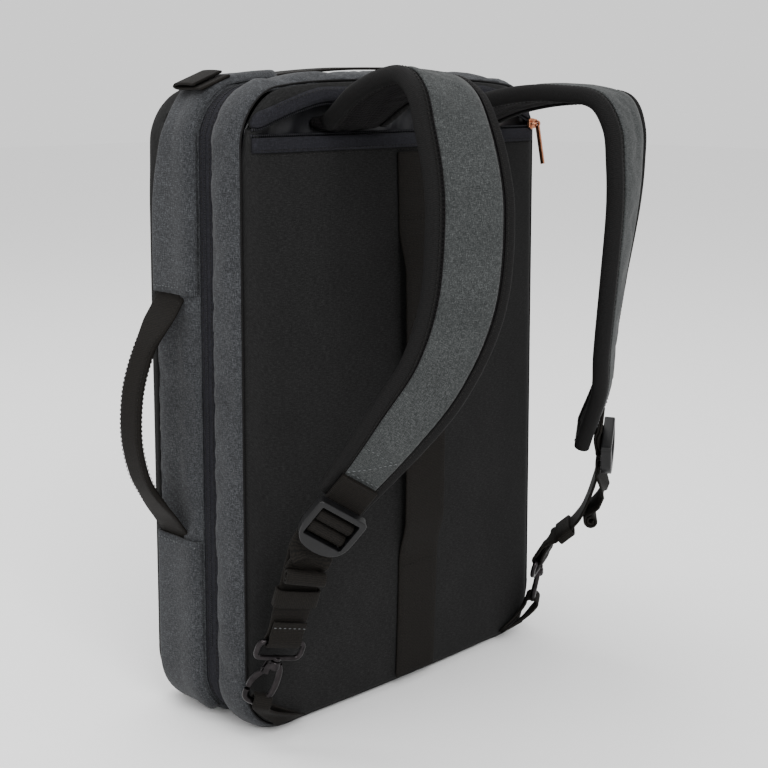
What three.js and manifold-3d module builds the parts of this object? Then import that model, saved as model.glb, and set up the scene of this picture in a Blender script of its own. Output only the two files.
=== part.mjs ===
import * as THREE from "three";
import { mergeVertices } from "three/addons/utils/BufferGeometryUtils.js";
import Module from "manifold-3d";

// A convertible backpack standing on its base. Millimetres, +Z up, origin at the middle of the flat base.
// The harness side faces -Y and the front panel faces +Y. Left and right are as seen from the harness side.

const wasm = await Module();
wasm.setup();

// Body
const bodyWidth = 281;
const bodyHeight = 405;
const bodyDepth = 104;
const topCorner = 31;
const baseCorner = 36;
const topDome = 11;
const sideTaper = 0.015;
const harnessBulge = 9;
const frontCrown = 3;
const gap = 0.3;

// Bands round the body, from the front panel to the harness seam
const panelWall = 4;
const frontRimDepth = 16;
const frontEdgeRound = 13;
const gussetWall = 4;
const frontGussetWidth = 44;
const zipTapeWidth = 12.5;
const zipTapeWall = 2;
const zipTapeRecess = 1.5;
const zipCoilRadius = 1.3;
const rearGussetWall = 5;
const rearGussetPuff = 2;
const rearEdgeInset = 6;
const pipingRadius = 1.5;
const boardWall = 6;
const pocketDepth = 7;

// Strap pocket on the harness side
const pocketWall = 2.2;
const pocketDrop = 25;
const pocketTapeHeight = 9;
const pocketTapeWall = 1.2;
const teethHeight = 2.4;
const teethWall = 2;
const mouthHeight = 16;
const lipEndHeight = 1.2;
const lipReach = 0.93;

// Trolley strap
const trolleyWidth = 38;
const trolleyMiddle = 4;
const trolleyTop = 368;
const trolleyFoot = 8;
const trolleyUpperStitch = 318;
const trolleyLowerStitch = 92;
const trolleyStandOff = 5.6;

// Webbings
const webbingWall = 1.8;
const handleWebbing = 29;
const handleGrip = 20;
const handleTop = 281;
const handleFoot = 122;
const handleBow = 33;
const handleMiddleY = 19;
const topHandleReach = 78;
const topHandleMiddle = 6;
const topHandleBow = 4.5;
const topHandleMiddleY = 14;
const topHandleWidth = 25;
const overlayWall = 1.1;
const tabWidth = 25;
const tabGap = 5;
const tabs = {
  left: { side: -1, angle: 78, length: 34 },
  right: { side: 1, angle: 50, length: 28 },
};

// Padded shoulder straps
const padWidth = 56;
const padWall = 8;
const faceWall = 1;
const bindingWall = 1.1;
const bindingLap = 7.5;
const strapSpread = 116;
const strapReach = 131;
const strapTipHeight = 168;

// Ladder locks, lower webbings and snap hooks
const lowerWebbing = 25;
const lockWidth = 34;
const lockLip = 4.5;
const lockHeight = 33;
const lockWall = 3;
const lockRim = 3.8;
const lockBar = 3;
const lockBarShift = 6;
const anchorLength = 17;
const keeperHeight = 12;
const keeperWall = 1.5;
const keeperDepth = 5;
const rollRadius = 5;
const stubLength = 15;
const eyeWidth = 31;
const eyeHeight = 12;
const eyeRound = 4.2;
const eyeWire = 1.7;
const collarRadius = 4;
const collarHeight = 5;
const postRadius = 1.6;
const collarBore = 1.9;
const hookLength = 26;
const hookWidth = 18;
const hookWire = 2;
const gateWall = 2.6;
const gateWidth = 3;
const pinRadius = 0.9;
const noseGap = 1.6;
const baseLoopWidth = 30;
const baseLoopPinch = 7;
const baseLoopRise = 1.5;

// Pocket zip slider and its pull
const sliderLength = 9;
const sliderWidth = 8;
const sliderWall = 2;
const sliderPlace = 128;
const bailWire = 0.8;
const bailHeight = 3.4;
const pullLength = 29;
const pullWidth = 3;
const pullWall = 1.6;
const pullEye = 2.5;
const pullTilt = 11;

// Places that follow from the sizes
const frontFaceY = bodyDepth / 2;
const frontRimY = frontFaceY - frontRimDepth;
const tapeFrontY = frontRimY - frontGussetWidth;
const tapeRearY = tapeFrontY - zipTapeWidth;
const harnessSeamY = -bodyDepth / 2;
const boardOuterY = harnessSeamY + pocketDepth;
const pocketTop = bodyHeight - pocketDrop;
const mouthMiddle = pocketTop + teethHeight + mouthHeight / 2;

const colours = {
  heather: 0x5c5e60,
  panel: 0x28292b,
  tape: 0x30313a,
  webbing: 0x252220,
  mesh: 0x1f1f21,
  plastic: 0x1d1d1f,
  gunmetal: 0x6d6a68,
  copper: 0xb8795a,
};
const part = new THREE.Group();

// Finishes and solids

function add(name, geometry, colour, roughness = 0.9, metalness = 0, parent = part) {
  const material = new THREE.MeshStandardMaterial({ color: colours[colour], roughness, metalness });
  const mesh = new THREE.Mesh(geometry, material);
  mesh.name = name;
  parent.add(mesh);
  return mesh;
}

function solidOf(positions, triangles) {
  let volume = 0;
  const [a, b, c] = [new THREE.Vector3(), new THREE.Vector3(), new THREE.Vector3()];
  for (const [i, j, k] of triangles) {
    a.copy(positions[i]);
    b.copy(positions[j]);
    c.copy(positions[k]);
    volume += a.dot(b.cross(c));
  }
  const index = triangles.flatMap(([i, j, k]) => (volume > 0 ? [i, j, k] : [i, k, j]));
  const geometry = new THREE.BufferGeometry().setFromPoints(positions);
  geometry.setIndex(index);
  geometry.computeVertexNormals();
  return geometry;
}

// Joins equal sections into one closed body: a ring when closed, or else a bar with an end face on each end.
// The first half of a section runs along one side of the body and the second half runs back along the other.
function lofted(sections, closed = false) {
  const count = sections[0].length;
  const triangles = [];
  const rows = closed ? sections.length : sections.length - 1;
  for (let row = 0; row < rows; row += 1) {
    const near = row * count;
    const far = ((row + 1) % sections.length) * count;
    for (let i = 0; i < count; i += 1) {
      const next = (i + 1) % count;
      triangles.push([near + i, near + next, far + next], [near + i, far + next, far + i]);
    }
  }
  if (!closed) {
    const last = (sections.length - 1) * count;
    for (let i = 0; i < count / 2 - 1; i += 1) {
      const mate = count - 1 - i;
      triangles.push([i, mate, i + 1], [i + 1, mate, mate - 1]);
      triangles.push([last + i, last + i + 1, last + mate], [last + i + 1, last + mate - 1, last + mate]);
    }
  }
  return solidOf(sections.flat(), triangles);
}

function toManifold(geometry) {
  const bare = geometry.clone();
  bare.deleteAttribute("normal");
  if (bare.hasAttribute("uv")) bare.deleteAttribute("uv");
  const merged = mergeVertices(bare, 1e-4);
  return new wasm.Manifold(
    new wasm.Mesh({
      numProp: 3,
      vertProperties: new Float32Array(merged.attributes.position.array),
      triVerts: new Uint32Array(merged.index.array),
    }),
  );
}

function joined(...geometries) {
  const whole = geometries.map(toManifold).reduce((sum, next) => sum.add(next));
  const mesh = whole.getMesh();
  const geometry = new THREE.BufferGeometry();
  geometry.setAttribute("position", new THREE.BufferAttribute(mesh.vertProperties, mesh.numProp));
  geometry.setIndex(new THREE.BufferAttribute(mesh.triVerts, 1));
  geometry.computeVertexNormals();
  return geometry;
}

// The bag's outline

const radians = THREE.MathUtils.degToRad;
const sideSpot = (side, height) => (a, low, high, rise) => [
  side * a,
  THREE.MathUtils.clamp(height, low + rise.base, high - rise.top),
];
const sideShare = (side, share) => (a, low, high, rise) => [
  side * a,
  THREE.MathUtils.lerp(low + rise.base, high - rise.top, share),
];
const endSpot = (end, share) => (a, low, high, rise) => [
  share * (a - (end > 0 ? rise.top : rise.base)),
  end > 0 ? high : low,
];
const cornerSpot = (side, end, angle) => (a, low, high, rise) => {
  const round = end > 0 ? rise.top : rise.base;
  return [
    side * (a - round + round * Math.cos(radians(angle))),
    (end > 0 ? high - round : low + round) + end * round * Math.sin(radians(angle)),
  ];
};
const cornerAngles = [0, 18, 36, 54, 72, 90];

// Spots once round the bag: up the right side, over the top, down the left side and back along the base.
function roundSpots() {
  return [
    ...[0.2, 0.4, 0.6, 0.8].map((share) => sideShare(1, share)),
    ...cornerAngles.map((angle) => cornerSpot(1, 1, angle)),
    ...[0.6, 0.3, 0, -0.3, -0.6].map((share) => endSpot(1, share)),
    ...cornerAngles.toReversed().map((angle) => cornerSpot(-1, 1, angle)),
    ...[0.8, 0.6, 0.4, 0.2].map((share) => sideShare(-1, share)),
    ...cornerAngles.map((angle) => cornerSpot(-1, -1, angle)),
    ...[-0.5, 0, 0.5].map((share) => endSpot(-1, share)),
    ...cornerAngles.toReversed().map((angle) => cornerSpot(1, -1, angle)),
  ];
}

const tapered = (x, z) => x * (1 + sideTaper * (0.5 - z / bodyHeight));

function shapedAt(x, z) {
  const across = Math.min(Math.abs(x) / (bodyWidth / 2), 1);
  const upper = Math.max((2 * z) / bodyHeight - 1, 0);
  return [tapered(x, z), Math.max(z + topDome * upper * (1 - across ** 4), 0)];
}

function place(spot, inset, y) {
  const rise = { top: Math.max(topCorner - inset, 3), base: Math.max(baseCorner - inset, 3) };
  const [x, z] = shapedAt(...spot(bodyWidth / 2 - inset, inset, bodyHeight - inset, rise));
  return new THREE.Vector3(x, y, z);
}

function bulgeAt(x, z) {
  const across = Math.min(Math.abs(x) / (bodyWidth / 2), 1);
  const along = z / (bodyHeight / 2) - 1;
  return (1 - across ** 2) * (1 - 0.5 * along ** 2);
}

// Inset at which the outline has shrunk to a narrow slot up the middle of a panel.
const middleInset = 0.47 * bodyWidth;
const harnessY = (x, z) => harnessSeamY - harnessBulge * bulgeAt(x, z);

// A band round the whole bag, from a closed profile of [inset, y] corners.
function band(profile, spots = roundSpots(), closed = true) {
  return lofted(
    spots.map((spot) => profile.map(([inset, y]) => place(spot, inset, y))),
    closed,
  );
}

// Body

function buildFrontPanel() {
  const spots = roundSpots();
  const steps = [0, 30, 60, 90];
  const outer = [
    ...[frontRimY + gap, frontFaceY - frontEdgeRound].map((y) => ({ inset: 0, y })),
    ...steps.slice(1).map((angle) => ({
      inset: frontEdgeRound * (1 - Math.cos(radians(angle))),
      y: frontFaceY - frontEdgeRound * (1 - Math.sin(radians(angle))),
    })),
    ...[0.3, 0.65, 1].map((share) => ({
      inset: share * middleInset,
      y: frontFaceY + frontCrown * Math.sin((share * Math.PI) / 2),
    })),
  ];
  const inner = outer.map(({ inset, y }) => ({
    inset: Math.max(inset, panelWall),
    y: y === outer[0].y ? y : Math.min(y, frontFaceY + frontCrown) - panelWall,
  }));
  inner[1].y = frontFaceY - frontEdgeRound;
  const ring = ({ inset, y }) => spots.map((spot) => place(spot, inset, y));
  add("front_panel", lofted([...outer.toReversed().map(ring), ...inner.map(ring)]), "panel");
}

function buildFrontGusset() {
  const profile = [
    [0.6, tapeFrontY],
    [0, tapeFrontY + 3],
    [0, frontRimY - 3],
    [0.6, frontRimY],
    [gussetWall, frontRimY],
    [gussetWall, tapeFrontY],
  ];
  add("front_gusset", band(profile), "heather");
}

function buildMainZip() {
  const middle = (tapeFrontY + tapeRearY) / 2;
  const tape = [
    [zipTapeRecess, tapeRearY + gap],
    [zipTapeRecess, tapeFrontY - gap],
    [zipTapeRecess + zipTapeWall, tapeFrontY - gap],
    [zipTapeRecess + zipTapeWall, tapeRearY + gap],
  ];
  add("main_zip_tape", band(tape), "tape");
  const centre = zipTapeRecess - gap - zipCoilRadius * 0.75;
  const coil = [0, 60, 120, 180, 240, 300].map((angle) => [
    centre + zipCoilRadius * 0.75 * Math.cos(radians(angle)),
    middle + zipCoilRadius * Math.sin(radians(angle)),
  ]);
  const spots = [
    ...[0.1, 0.4, 0.7].map((share) => sideShare(1, share)),
    ...roundSpots().slice(4, 21),
    ...[0.7, 0.4, 0.1].map((share) => sideShare(-1, share)),
  ];
  add("main_zip_coil", band(coil, spots, false), "tape", 0.6);
}

function buildRearGusset() {
  const start = tapeRearY;
  const end = harnessSeamY + pipingRadius + gap;
  const at = (share) => THREE.MathUtils.lerp(start, end, share);
  const profile = [
    [0.8, start],
    [-rearGussetPuff * 0.6, at(0.16)],
    [-rearGussetPuff, at(0.42)],
    [-rearGussetPuff * 0.3, at(0.7)],
    [rearEdgeInset * 0.4, at(0.9)],
    [rearEdgeInset, end],
    [rearEdgeInset + rearGussetWall * 0.7, end],
    [rearGussetWall, at(0.8)],
    [rearGussetWall - rearGussetPuff * 0.5, at(0.42)],
    [rearGussetWall, start],
  ];
  add("rear_gusset", band(profile), "heather");
}

function buildPiping() {
  const profile = [0, 60, 120, 180, 240, 300].map((angle) => [
    rearEdgeInset + pipingRadius * (1 - Math.cos(radians(angle))),
    harnessSeamY + pipingRadius * Math.sin(radians(angle)),
  ]);
  add("piping", band(profile), "webbing");
}

function buildBackBoard() {
  const rim = rearGussetWall + 4 * gap;
  const spots = roundSpots();
  const ring = ([inset, y]) => spots.map((spot) => place(spot, inset, y));
  const rows = [
    [middleInset, boardOuterY],
    [rim, boardOuterY],
    [rim, boardOuterY + boardWall],
    [middleInset, boardOuterY + boardWall],
  ];
  add("back_board", lofted(rows.map(ring)), "panel");
}

// Strap pocket

// A sheet over the harness face between two heights for each X, its foot and head given by functions of X.
function harnessSheet(columns, footOf, headOf, wall, standOff, rows = 6) {
  const sections = columns.map((x) => {
    const [foot, head] = [footOf(x), headOf(x)];
    const heights = Array.from({ length: rows + 1 }, (_, i) => THREE.MathUtils.lerp(foot, head, i / rows));
    const skin = (offset) => heights.map((z) => vector(tapered(x, z), harnessY(x, z) - standOff + offset, z));
    return [...skin(0), ...skin(wall).toReversed()];
  });
  return lofted(sections);
}

const seamInset = rearEdgeInset + 2 * pipingRadius + 2 * gap;
const panelHalf = bodyWidth / 2 - seamInset;
const mirrored = (shares) => [...shares.map((share) => -share), ...shares.toReversed()];
const panelColumns = mirrored([1, 0.97, 0.92, 0.84, 0.65, 0.4, 0.15]).map((share) => share * panelHalf);

// Height of a corner's round at X, measured from the straight edge that it leaves.
function cornerDrop(x, round) {
  const past = Math.abs(x) - (panelHalf - round);
  return past > 0 ? round - Math.sqrt(Math.max(round ** 2 - past ** 2, 0)) : 0;
}

const panelFoot = (x) => seamInset + cornerDrop(x, baseCorner - seamInset);
const domeHead = (x) => shapedAt(x, bodyHeight - seamInset)[1] - cornerDrop(x, topCorner - seamInset + 4);

function lipHeight(x) {
  const rise = Math.max(Math.cos(Math.min(Math.abs(x) / (lipReach * panelHalf), 1) * (Math.PI / 2)), 0);
  return pocketTop + teethHeight + lipEndHeight + (mouthHeight - lipEndHeight) * rise ** 0.3;
}

function buildPocket() {
  add("pocket_panel", harnessSheet(panelColumns, panelFoot, () => pocketTop, pocketWall, 0, 10), "panel");
  const inner = panelColumns.slice(1, -1);
  const tapeFoot = () => pocketTop - pocketTapeHeight;
  const tape = harnessSheet(inner, tapeFoot, () => pocketTop, pocketTapeWall, pocketTapeWall + gap, 1);
  add("pocket_zip_tape", tape, "tape");
  const lowTeeth = () => pocketTop + gap;
  const lowTeethHead = () => pocketTop + teethHeight;
  add("pocket_lower_teeth", harnessSheet(inner, lowTeeth, lowTeethHead, teethWall, 0, 1), "tape", 0.5);
  const lipColumns = mirrored([0.965, 0.93, 0.88, 0.8, 0.62, 0.35, 0.1]).map((share) => share * panelHalf);
  const yokeFoot = (x) => lipHeight(x) + teethHeight + gap;
  const yokeHead = (x) => Math.max(domeHead(x), yokeFoot(x) + 1);
  add("yoke", harnessSheet(lipColumns, yokeFoot, yokeHead, pocketWall, 0, 2), "panel");
  const upTeeth = harnessSheet(lipColumns, lipHeight, (x) => lipHeight(x) + teethHeight, teethWall, 0, 1);
  add("pocket_upper_teeth", upTeeth, "tape", 0.5);
}

function buildTrolleyStrap() {
  const ramp = 16;
  const rows = [
    [trolleyFoot, 0],
    [trolleyLowerStitch, 0],
    [trolleyLowerStitch + ramp, 0.6],
    [trolleyLowerStitch + 2 * ramp, 1],
    [(trolleyLowerStitch + trolleyUpperStitch) / 2, 1],
    [trolleyUpperStitch - 2 * ramp, 1],
    [trolleyUpperStitch - ramp, 0.6],
    [trolleyUpperStitch, 0],
    [trolleyTop, 0],
  ];
  const half = trolleyWidth / 2;
  const sections = rows.map(([z, lift]) => {
    const y = (x, wall) => harnessY(x, z) - gap - lift * trolleyStandOff - wall;
    const xs = [trolleyMiddle - half, trolleyMiddle, trolleyMiddle + half];
    const skin = (wall) => xs.map((x) => new THREE.Vector3(x, y(x, wall), z));
    return [...skin(webbingWall), ...skin(0).toReversed()];
  });
  add("trolley_strap", lofted(sections), "webbing");
}

// Webbing and wire

// A strip swept through stations of { point, across, width }, its wall laid half on each side of the points.
function strip(stations, wall, edge = 0) {
  return lofted(stations.map((station, i) => stripSection(stations, i, wall, edge)));
}

function tangentAt(stations, i) {
  const before = stations[Math.max(i - 1, 0)].point;
  const after = stations[Math.min(i + 1, stations.length - 1)].point;
  return after.clone().sub(before).normalize();
}

function stationAxes(stations, i) {
  const tangent = tangentAt(stations, i);
  const across = stations[i].across.clone().normalize();
  if (!stations[i].skewed) across.addScaledVector(tangent, -across.dot(tangent)).normalize();
  return { tangent, across, normal: tangent.clone().cross(across).normalize() };
}

function stripSection(stations, i, wall, edge) {
  const { point, width } = stations[i];
  const { across, normal } = stationAxes(stations, i);
  const at = (a, n) => point.clone().addScaledVector(across, a).addScaledVector(normal, n);
  const [half, high] = [width / 2, wall / 2];
  if (!edge) return [at(-half, high), at(half, high), at(half, -high), at(-half, -high)];
  const top = [at(-half, edge - high), at(edge - half, -high), at(half - edge, -high), at(half, edge - high)];
  const back = [at(half, high - edge), at(half - edge, high), at(edge - half, high), at(-half, high - edge)];
  return [...top, ...back];
}

function wire(points, radiusAt, side, closed = false, sides = 8) {
  const stations = points.map((point) => ({ point, across: side, width: 1 }));
  const sections = stations.map((_, i) => {
    const count = stations.length;
    const before = closed ? points[(i + count - 1) % count] : points[Math.max(i - 1, 0)];
    const after = closed ? points[(i + 1) % count] : points[Math.min(i + 1, count - 1)];
    const tangent = after.clone().sub(before).normalize();
    const normal = tangent.clone().cross(side).normalize();
    return Array.from({ length: sides }, (_, k) => {
      const angle = ((k + 0.5) / sides) * 2 * Math.PI;
      const radius = radiusAt(i / (count - 1));
      return points[i]
        .clone()
        .addScaledVector(side, radius * Math.cos(angle))
        .addScaledVector(normal, radius * Math.sin(angle));
    });
  });
  return lofted(sections, closed);
}

const vector = (x, y, z) => new THREE.Vector3(x, y, z);

// Side and top handles, overlays and tabs

const handleRows = [
  { along: -0.09, out: 0 },
  { along: 0, out: 0 },
  { along: 0.05, out: 0.12 },
  { along: 0.13, out: 0.4 },
  { along: 0.25, out: 0.74 },
  { along: 0.4, out: 0.96 },
  { along: 0.55, out: 1 },
  { along: 0.7, out: 0.86 },
  { along: 0.84, out: 0.5 },
  { along: 0.94, out: 0.16 },
  { along: 1, out: 0 },
  { along: 1.09, out: 0 },
];

function buildSideHandle() {
  const root = gap + webbingWall / 2;
  const stations = handleRows.map(({ along, out }) => {
    const z = THREE.MathUtils.lerp(handleTop, handleFoot, along);
    const [x] = shapedAt(-bodyWidth / 2, z);
    const pinch = THREE.MathUtils.smoothstep(out, 0.3, 0.8);
    return {
      point: vector(x - root - out * handleBow, handleMiddleY, z),
      across: vector(0, 1, 0),
      width: THREE.MathUtils.lerp(handleWebbing, handleGrip, pinch),
      wall: THREE.MathUtils.lerp(webbingWall, 2.6 * webbingWall, pinch),
    };
  });
  const sections = stations.map((station, i) => stripSection(stations, i, station.wall, 0));
  add("side_handle", lofted(sections), "webbing");
}

// A thin patch of gusset cloth over the ends of the handles, along a run of outline spots.
function overlay(name, spots) {
  const under = gap + webbingWall + gap;
  const profile = [
    [-under - overlayWall, tapeFrontY + 3.5],
    [-under - overlayWall, frontRimY - 1],
    [-under, frontRimY - 1],
    [-under, tapeFrontY + 3.5],
  ];
  add(name, band(profile, spots, false), "heather");
}

function buildOverlays() {
  const topShare = (side) => (topHandleMiddle + side * topHandleReach) / (bodyWidth / 2 - topCorner);
  const fine = [0, 18, 36, 54, 72, 90];
  const leftTop = [
    sideSpot(-1, handleTop),
    sideSpot(-1, (handleTop + bodyHeight - topCorner) / 2),
    ...fine.map((angle) => cornerSpot(-1, 1, angle)),
    endSpot(1, topShare(-1)),
  ];
  const rightTop = [...fine.map((angle) => cornerSpot(1, 1, angle)), endSpot(1, topShare(1))];
  const leftBase = [
    sideSpot(-1, handleFoot),
    sideSpot(-1, (handleFoot + baseCorner) / 2),
    ...[0, 18, 36, 50].map((angle) => cornerSpot(-1, -1, angle)),
  ];
  overlay("overlay_top_left", leftTop);
  overlay("overlay_top_right", rightTop);
  overlay("overlay_base_left", leftBase);
}

const topHandleRows = [
  { along: -1.12, lift: 0 },
  { along: -1, lift: 0 },
  { along: -0.85, lift: 0.12 },
  { along: -0.6, lift: 0.42 },
  { along: -0.3, lift: 0.76 },
  { along: 0, lift: 0.97 },
  { along: 0.3, lift: 1 },
  { along: 0.6, lift: 1 },
  { along: 0.82, lift: 0.8 },
  { along: 0.93, lift: 0.25 },
  { along: 0.98, lift: 0 },
  { along: 1.1, lift: 0 },
];

function buildTopHandle() {
  const crest = shapedAt(0, bodyHeight)[1];
  const stations = topHandleRows.map(({ along, lift }) => {
    const [x, top] = shapedAt(topHandleMiddle + along * topHandleReach, bodyHeight);
    const height = lift * (topHandleBow + crest - top);
    const point = vector(x, topHandleMiddleY, top + gap + webbingWall / 2 + height);
    return { point, across: vector(0, 1, 0), width: topHandleWidth };
  });
  add("top_handle", strip(stations, webbingWall), "webbing");
}

// A folded tab of webbing on a top corner, its two ends at the zip seam and its fold towards the front.
function buildTab(hand, { side, angle, length }) {
  const under = gap + webbingWall + gap + overlayWall + gap;
  const seat = place(cornerSpot(side, 1, angle), -under, 0);
  const out = vector(side * Math.cos(radians(angle)), 0, Math.sin(radians(angle)));
  const across = vector(Math.sin(radians(angle)), 0, -side * Math.cos(radians(angle)));
  const fold = tabGap / 2 + webbingWall / 2;
  const low = webbingWall / 2 + gap;
  const path = [
    [0, 0],
    [0.3, 0],
    [0.85, 0],
    [0.95, 0.15],
    [1, 0.5],
    [0.95, 0.85],
    [0.85, 1],
    [0.5, 1.05],
    [0.25, 0.9],
  ];
  const stations = path.map(([along, lift]) => {
    const point = vector(seat.x, tapeFrontY + 3.5 + along * length, seat.z);
    return { point: point.addScaledVector(out, low + lift * 2 * fold), across, width: tabWidth };
  });
  add(`top_tab_${hand}`, strip(stations, webbingWall), "webbing");
}

// Padded shoulder straps

// Spread and out are shares of the strap spread and reach, and up is 0 at the tip and 1 at the pocket mouth.
// Turn and lift tilt the strap's width in degrees, and width is a share of the pad's.
const strapFall = [
  { spread: 0.647, out: 0.985, up: 0.767, turn: 21, lift: 0, width: 1 },
  { spread: 0.638, out: 0.939, up: 0.525, turn: 27, lift: 0, width: 0.96 },
  { spread: 0.724, out: 0.847, up: 0.336, turn: 30, lift: 0, width: 0.86 },
];
const strapTips = {
  left: [
    { spread: 0.871, out: 0.717, up: 0.184, turn: 33, lift: 0, width: 0.79 },
    { spread: 1, out: 0.502, up: 0, turn: 40, lift: 0, width: 0.6 },
  ],
  right: [
    { spread: 0.871, out: 0.73, up: 0.184, turn: 33, lift: 0, width: 0.79 },
    { spread: 1, out: 0.54, up: 0, turn: 40, lift: 0, width: 0.6 },
  ],
};
const strapCrests = {
  left: [
    { spread: 0.472, out: 0.005, up: 0.988, turn: 0, lift: 0, width: 0.96 },
    { spread: 0.472, out: 0.09, up: 0.988, turn: 0, lift: 0, width: 0.96 },
    { spread: 0.495, out: 0.32, up: 1.065, turn: 0, lift: 4, width: 1 },
    { spread: 0.51, out: 0.5, up: 1.1, turn: 1, lift: 6, width: 1 },
    { spread: 0.545, out: 0.67, up: 1.105, turn: 2, lift: 7, width: 1 },
    { spread: 0.59, out: 0.8, up: 1.065, turn: 8, lift: 5, width: 1 },
    { spread: 0.62, out: 0.885, up: 0.985, turn: 14, lift: 1, width: 1 },
    { spread: 0.634, out: 0.954, up: 0.87, turn: 18, lift: 0, width: 1 },
  ],
  right: [
    { spread: 0.472, out: 0.005, up: 0.988, turn: 0, lift: 0, width: 0.96 },
    { spread: 0.472, out: 0.09, up: 0.988, turn: 0, lift: 0, width: 0.96 },
    { spread: 0.515, out: 0.3, up: 1.035, turn: 0, lift: -2, width: 1 },
    { spread: 0.56, out: 0.53, up: 1.06, turn: 0, lift: -3, width: 1 },
    { spread: 0.605, out: 0.73, up: 1.062, turn: 4, lift: -3, width: 1 },
    { spread: 0.638, out: 0.9, up: 1.045, turn: 10, lift: -2, width: 1 },
    { spread: 0.645, out: 0.975, up: 0.972, turn: 15, lift: -1, width: 1 },
    { spread: 0.645, out: 0.99, up: 0.87, turn: 18, lift: 0, width: 1 },
  ],
};
const strapSteps = 21;

function strapStations(hand, side) {
  const rows = [...strapCrests[hand], ...strapFall, ...strapTips[hand]];
  const rootY = boardOuterY - gap;
  const points = rows.map(({ spread, out, up }) => {
    const z = THREE.MathUtils.lerp(strapTipHeight, mouthMiddle, up);
    return vector(side * spread * strapSpread, rootY - out * strapReach, z);
  });
  const centre = new THREE.CatmullRomCurve3(points, false, "centripetal");
  const tilt = new THREE.CatmullRomCurve3(rows.map(({ turn, lift, width }) => vector(turn, lift, width)));
  return Array.from({ length: strapSteps + 1 }, (_, i) => {
    const share = i / strapSteps;
    const { x: turn, y: lift, z: width } = tilt.getPoint(share);
    const rise = Math.sin(radians(lift));
    const across = vector(Math.cos(radians(turn)), side * Math.sin(radians(turn)), side * rise);
    return { point: centre.getPoint(share), across, width: width * padWidth };
  });
}

function buildPad(hand, stations) {
  const pad = stations.map((station) => ({ ...station, width: station.width - 2 * gap - 2 * bindingWall }));
  add(`strap_pad_${hand}`, strip(pad, padWall, 2), "mesh");
  const cover = stations.slice(1).map((station, i) => {
    const { normal } = stationAxes(stations, i + 1);
    const rise = padWall / 2 + 2 * gap + faceWall / 2;
    const point = station.point.clone().addScaledVector(normal, rise);
    return { ...station, point, width: station.width - 2 * bindingLap - 4 * gap };
  });
  cover.pop();
  add(`strap_face_${hand}`, strip(cover, faceWall), "heather");
}

// The binding runs down one edge of the strap, round its tip and up the other edge, folded over both faces.
function buildBinding(hand, stations) {
  const high = padWall / 2 + gap + bindingWall;
  const profile = [
    [bindingLap, high],
    [0, high],
    [0, -high],
    [bindingLap, -high],
    [bindingLap, bindingWall - high],
    [bindingWall, bindingWall - high],
    [bindingWall, high - bindingWall],
    [bindingLap, high - bindingWall],
  ];
  const sectionAt = (point, inward, normal) =>
    profile.map(([a, n]) => point.clone().addScaledVector(inward, a).addScaledVector(normal, n));
  const edge = (sign) =>
    stations.slice(2).map(({ point, width }, i) => {
      const { across, normal } = stationAxes(stations, i + 2);
      const rim = point.clone().addScaledVector(across, (sign * width) / 2);
      return sectionAt(rim, across.clone().multiplyScalar(-sign), normal);
    });
  const last = stations.length - 1;
  const { tangent, across, normal } = stationAxes(stations, last);
  const half = stations[last].width / 2;
  const tip = [-1, -0.45, 0.45, 1].map((share) => {
    const inward = tangent.clone().multiplyScalar(-1);
    if (Math.abs(share) === 1) inward.addScaledVector(across, -share);
    const rim = stations[last].point.clone().addScaledVector(across, share * half);
    return sectionAt(rim.addScaledVector(tangent, bindingWall + gap), inward, normal);
  });
  const down = edge(-1).slice(0, -1);
  const up = edge(1).slice(0, -1).toReversed();
  add(`strap_binding_${hand}`, lofted([...down, ...tip, ...up]), "webbing");
}

// Ladder locks and anchor webbings

// A frame has an origin and three directions: across, up and out. Its at() takes distances along them.
function frameFrom(origin, up, across) {
  const level = across.clone().addScaledVector(up, -across.dot(up)).normalize();
  const out = level.clone().cross(up);
  const basis = new THREE.Matrix4().makeBasis(level, up, out).setPosition(origin);
  const at = (a, u, o) => vector(a, u, o).applyMatrix4(basis);
  return { origin, up, across: level, out, basis, at };
}

function groupAt(frame) {
  const group = new THREE.Group();
  group.applyMatrix4(frame.basis);
  part.add(group);
  return group;
}

// Radius of a webbing's middle on its way round a bar, drawn as an eight-sided turn.
const turnRadius = (barRadius) => (barRadius + gap) / Math.cos(Math.PI / 8) + webbingWall / 2;
const lockTurn = turnRadius(Math.hypot(lockBar, lockWall) / 2);
const anchorBar = lockBarShift;
const tailBar = lockBarShift - 2 * lockTurn - webbingWall - gap;
const nearLayer = lockWall / 2 + gap + webbingWall / 2;
const farLayer = nearLayer + webbingWall + gap;

// From behind the lock, through a slot, over the front of a bar, back through the next slot and behind again.
function lockTurnPoints(lock, bar, sign) {
  const r = lockTurn;
  const rows = [
    [1.31 * r, -nearLayer],
    [1.03 * r, -0.62 * nearLayer],
    [r, 0],
    [0.71 * r, 0.71 * r],
    [0, r],
    [-0.71 * r, 0.71 * r],
    [-r, 0],
    [-0.88 * r, -0.88 * nearLayer],
    [-0.43 * r, -0.93 * farLayer],
    [0.57 * r, -farLayer],
  ];
  return rows.map(([u, o]) => lock.at(0, bar + sign * u, o));
}

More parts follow.
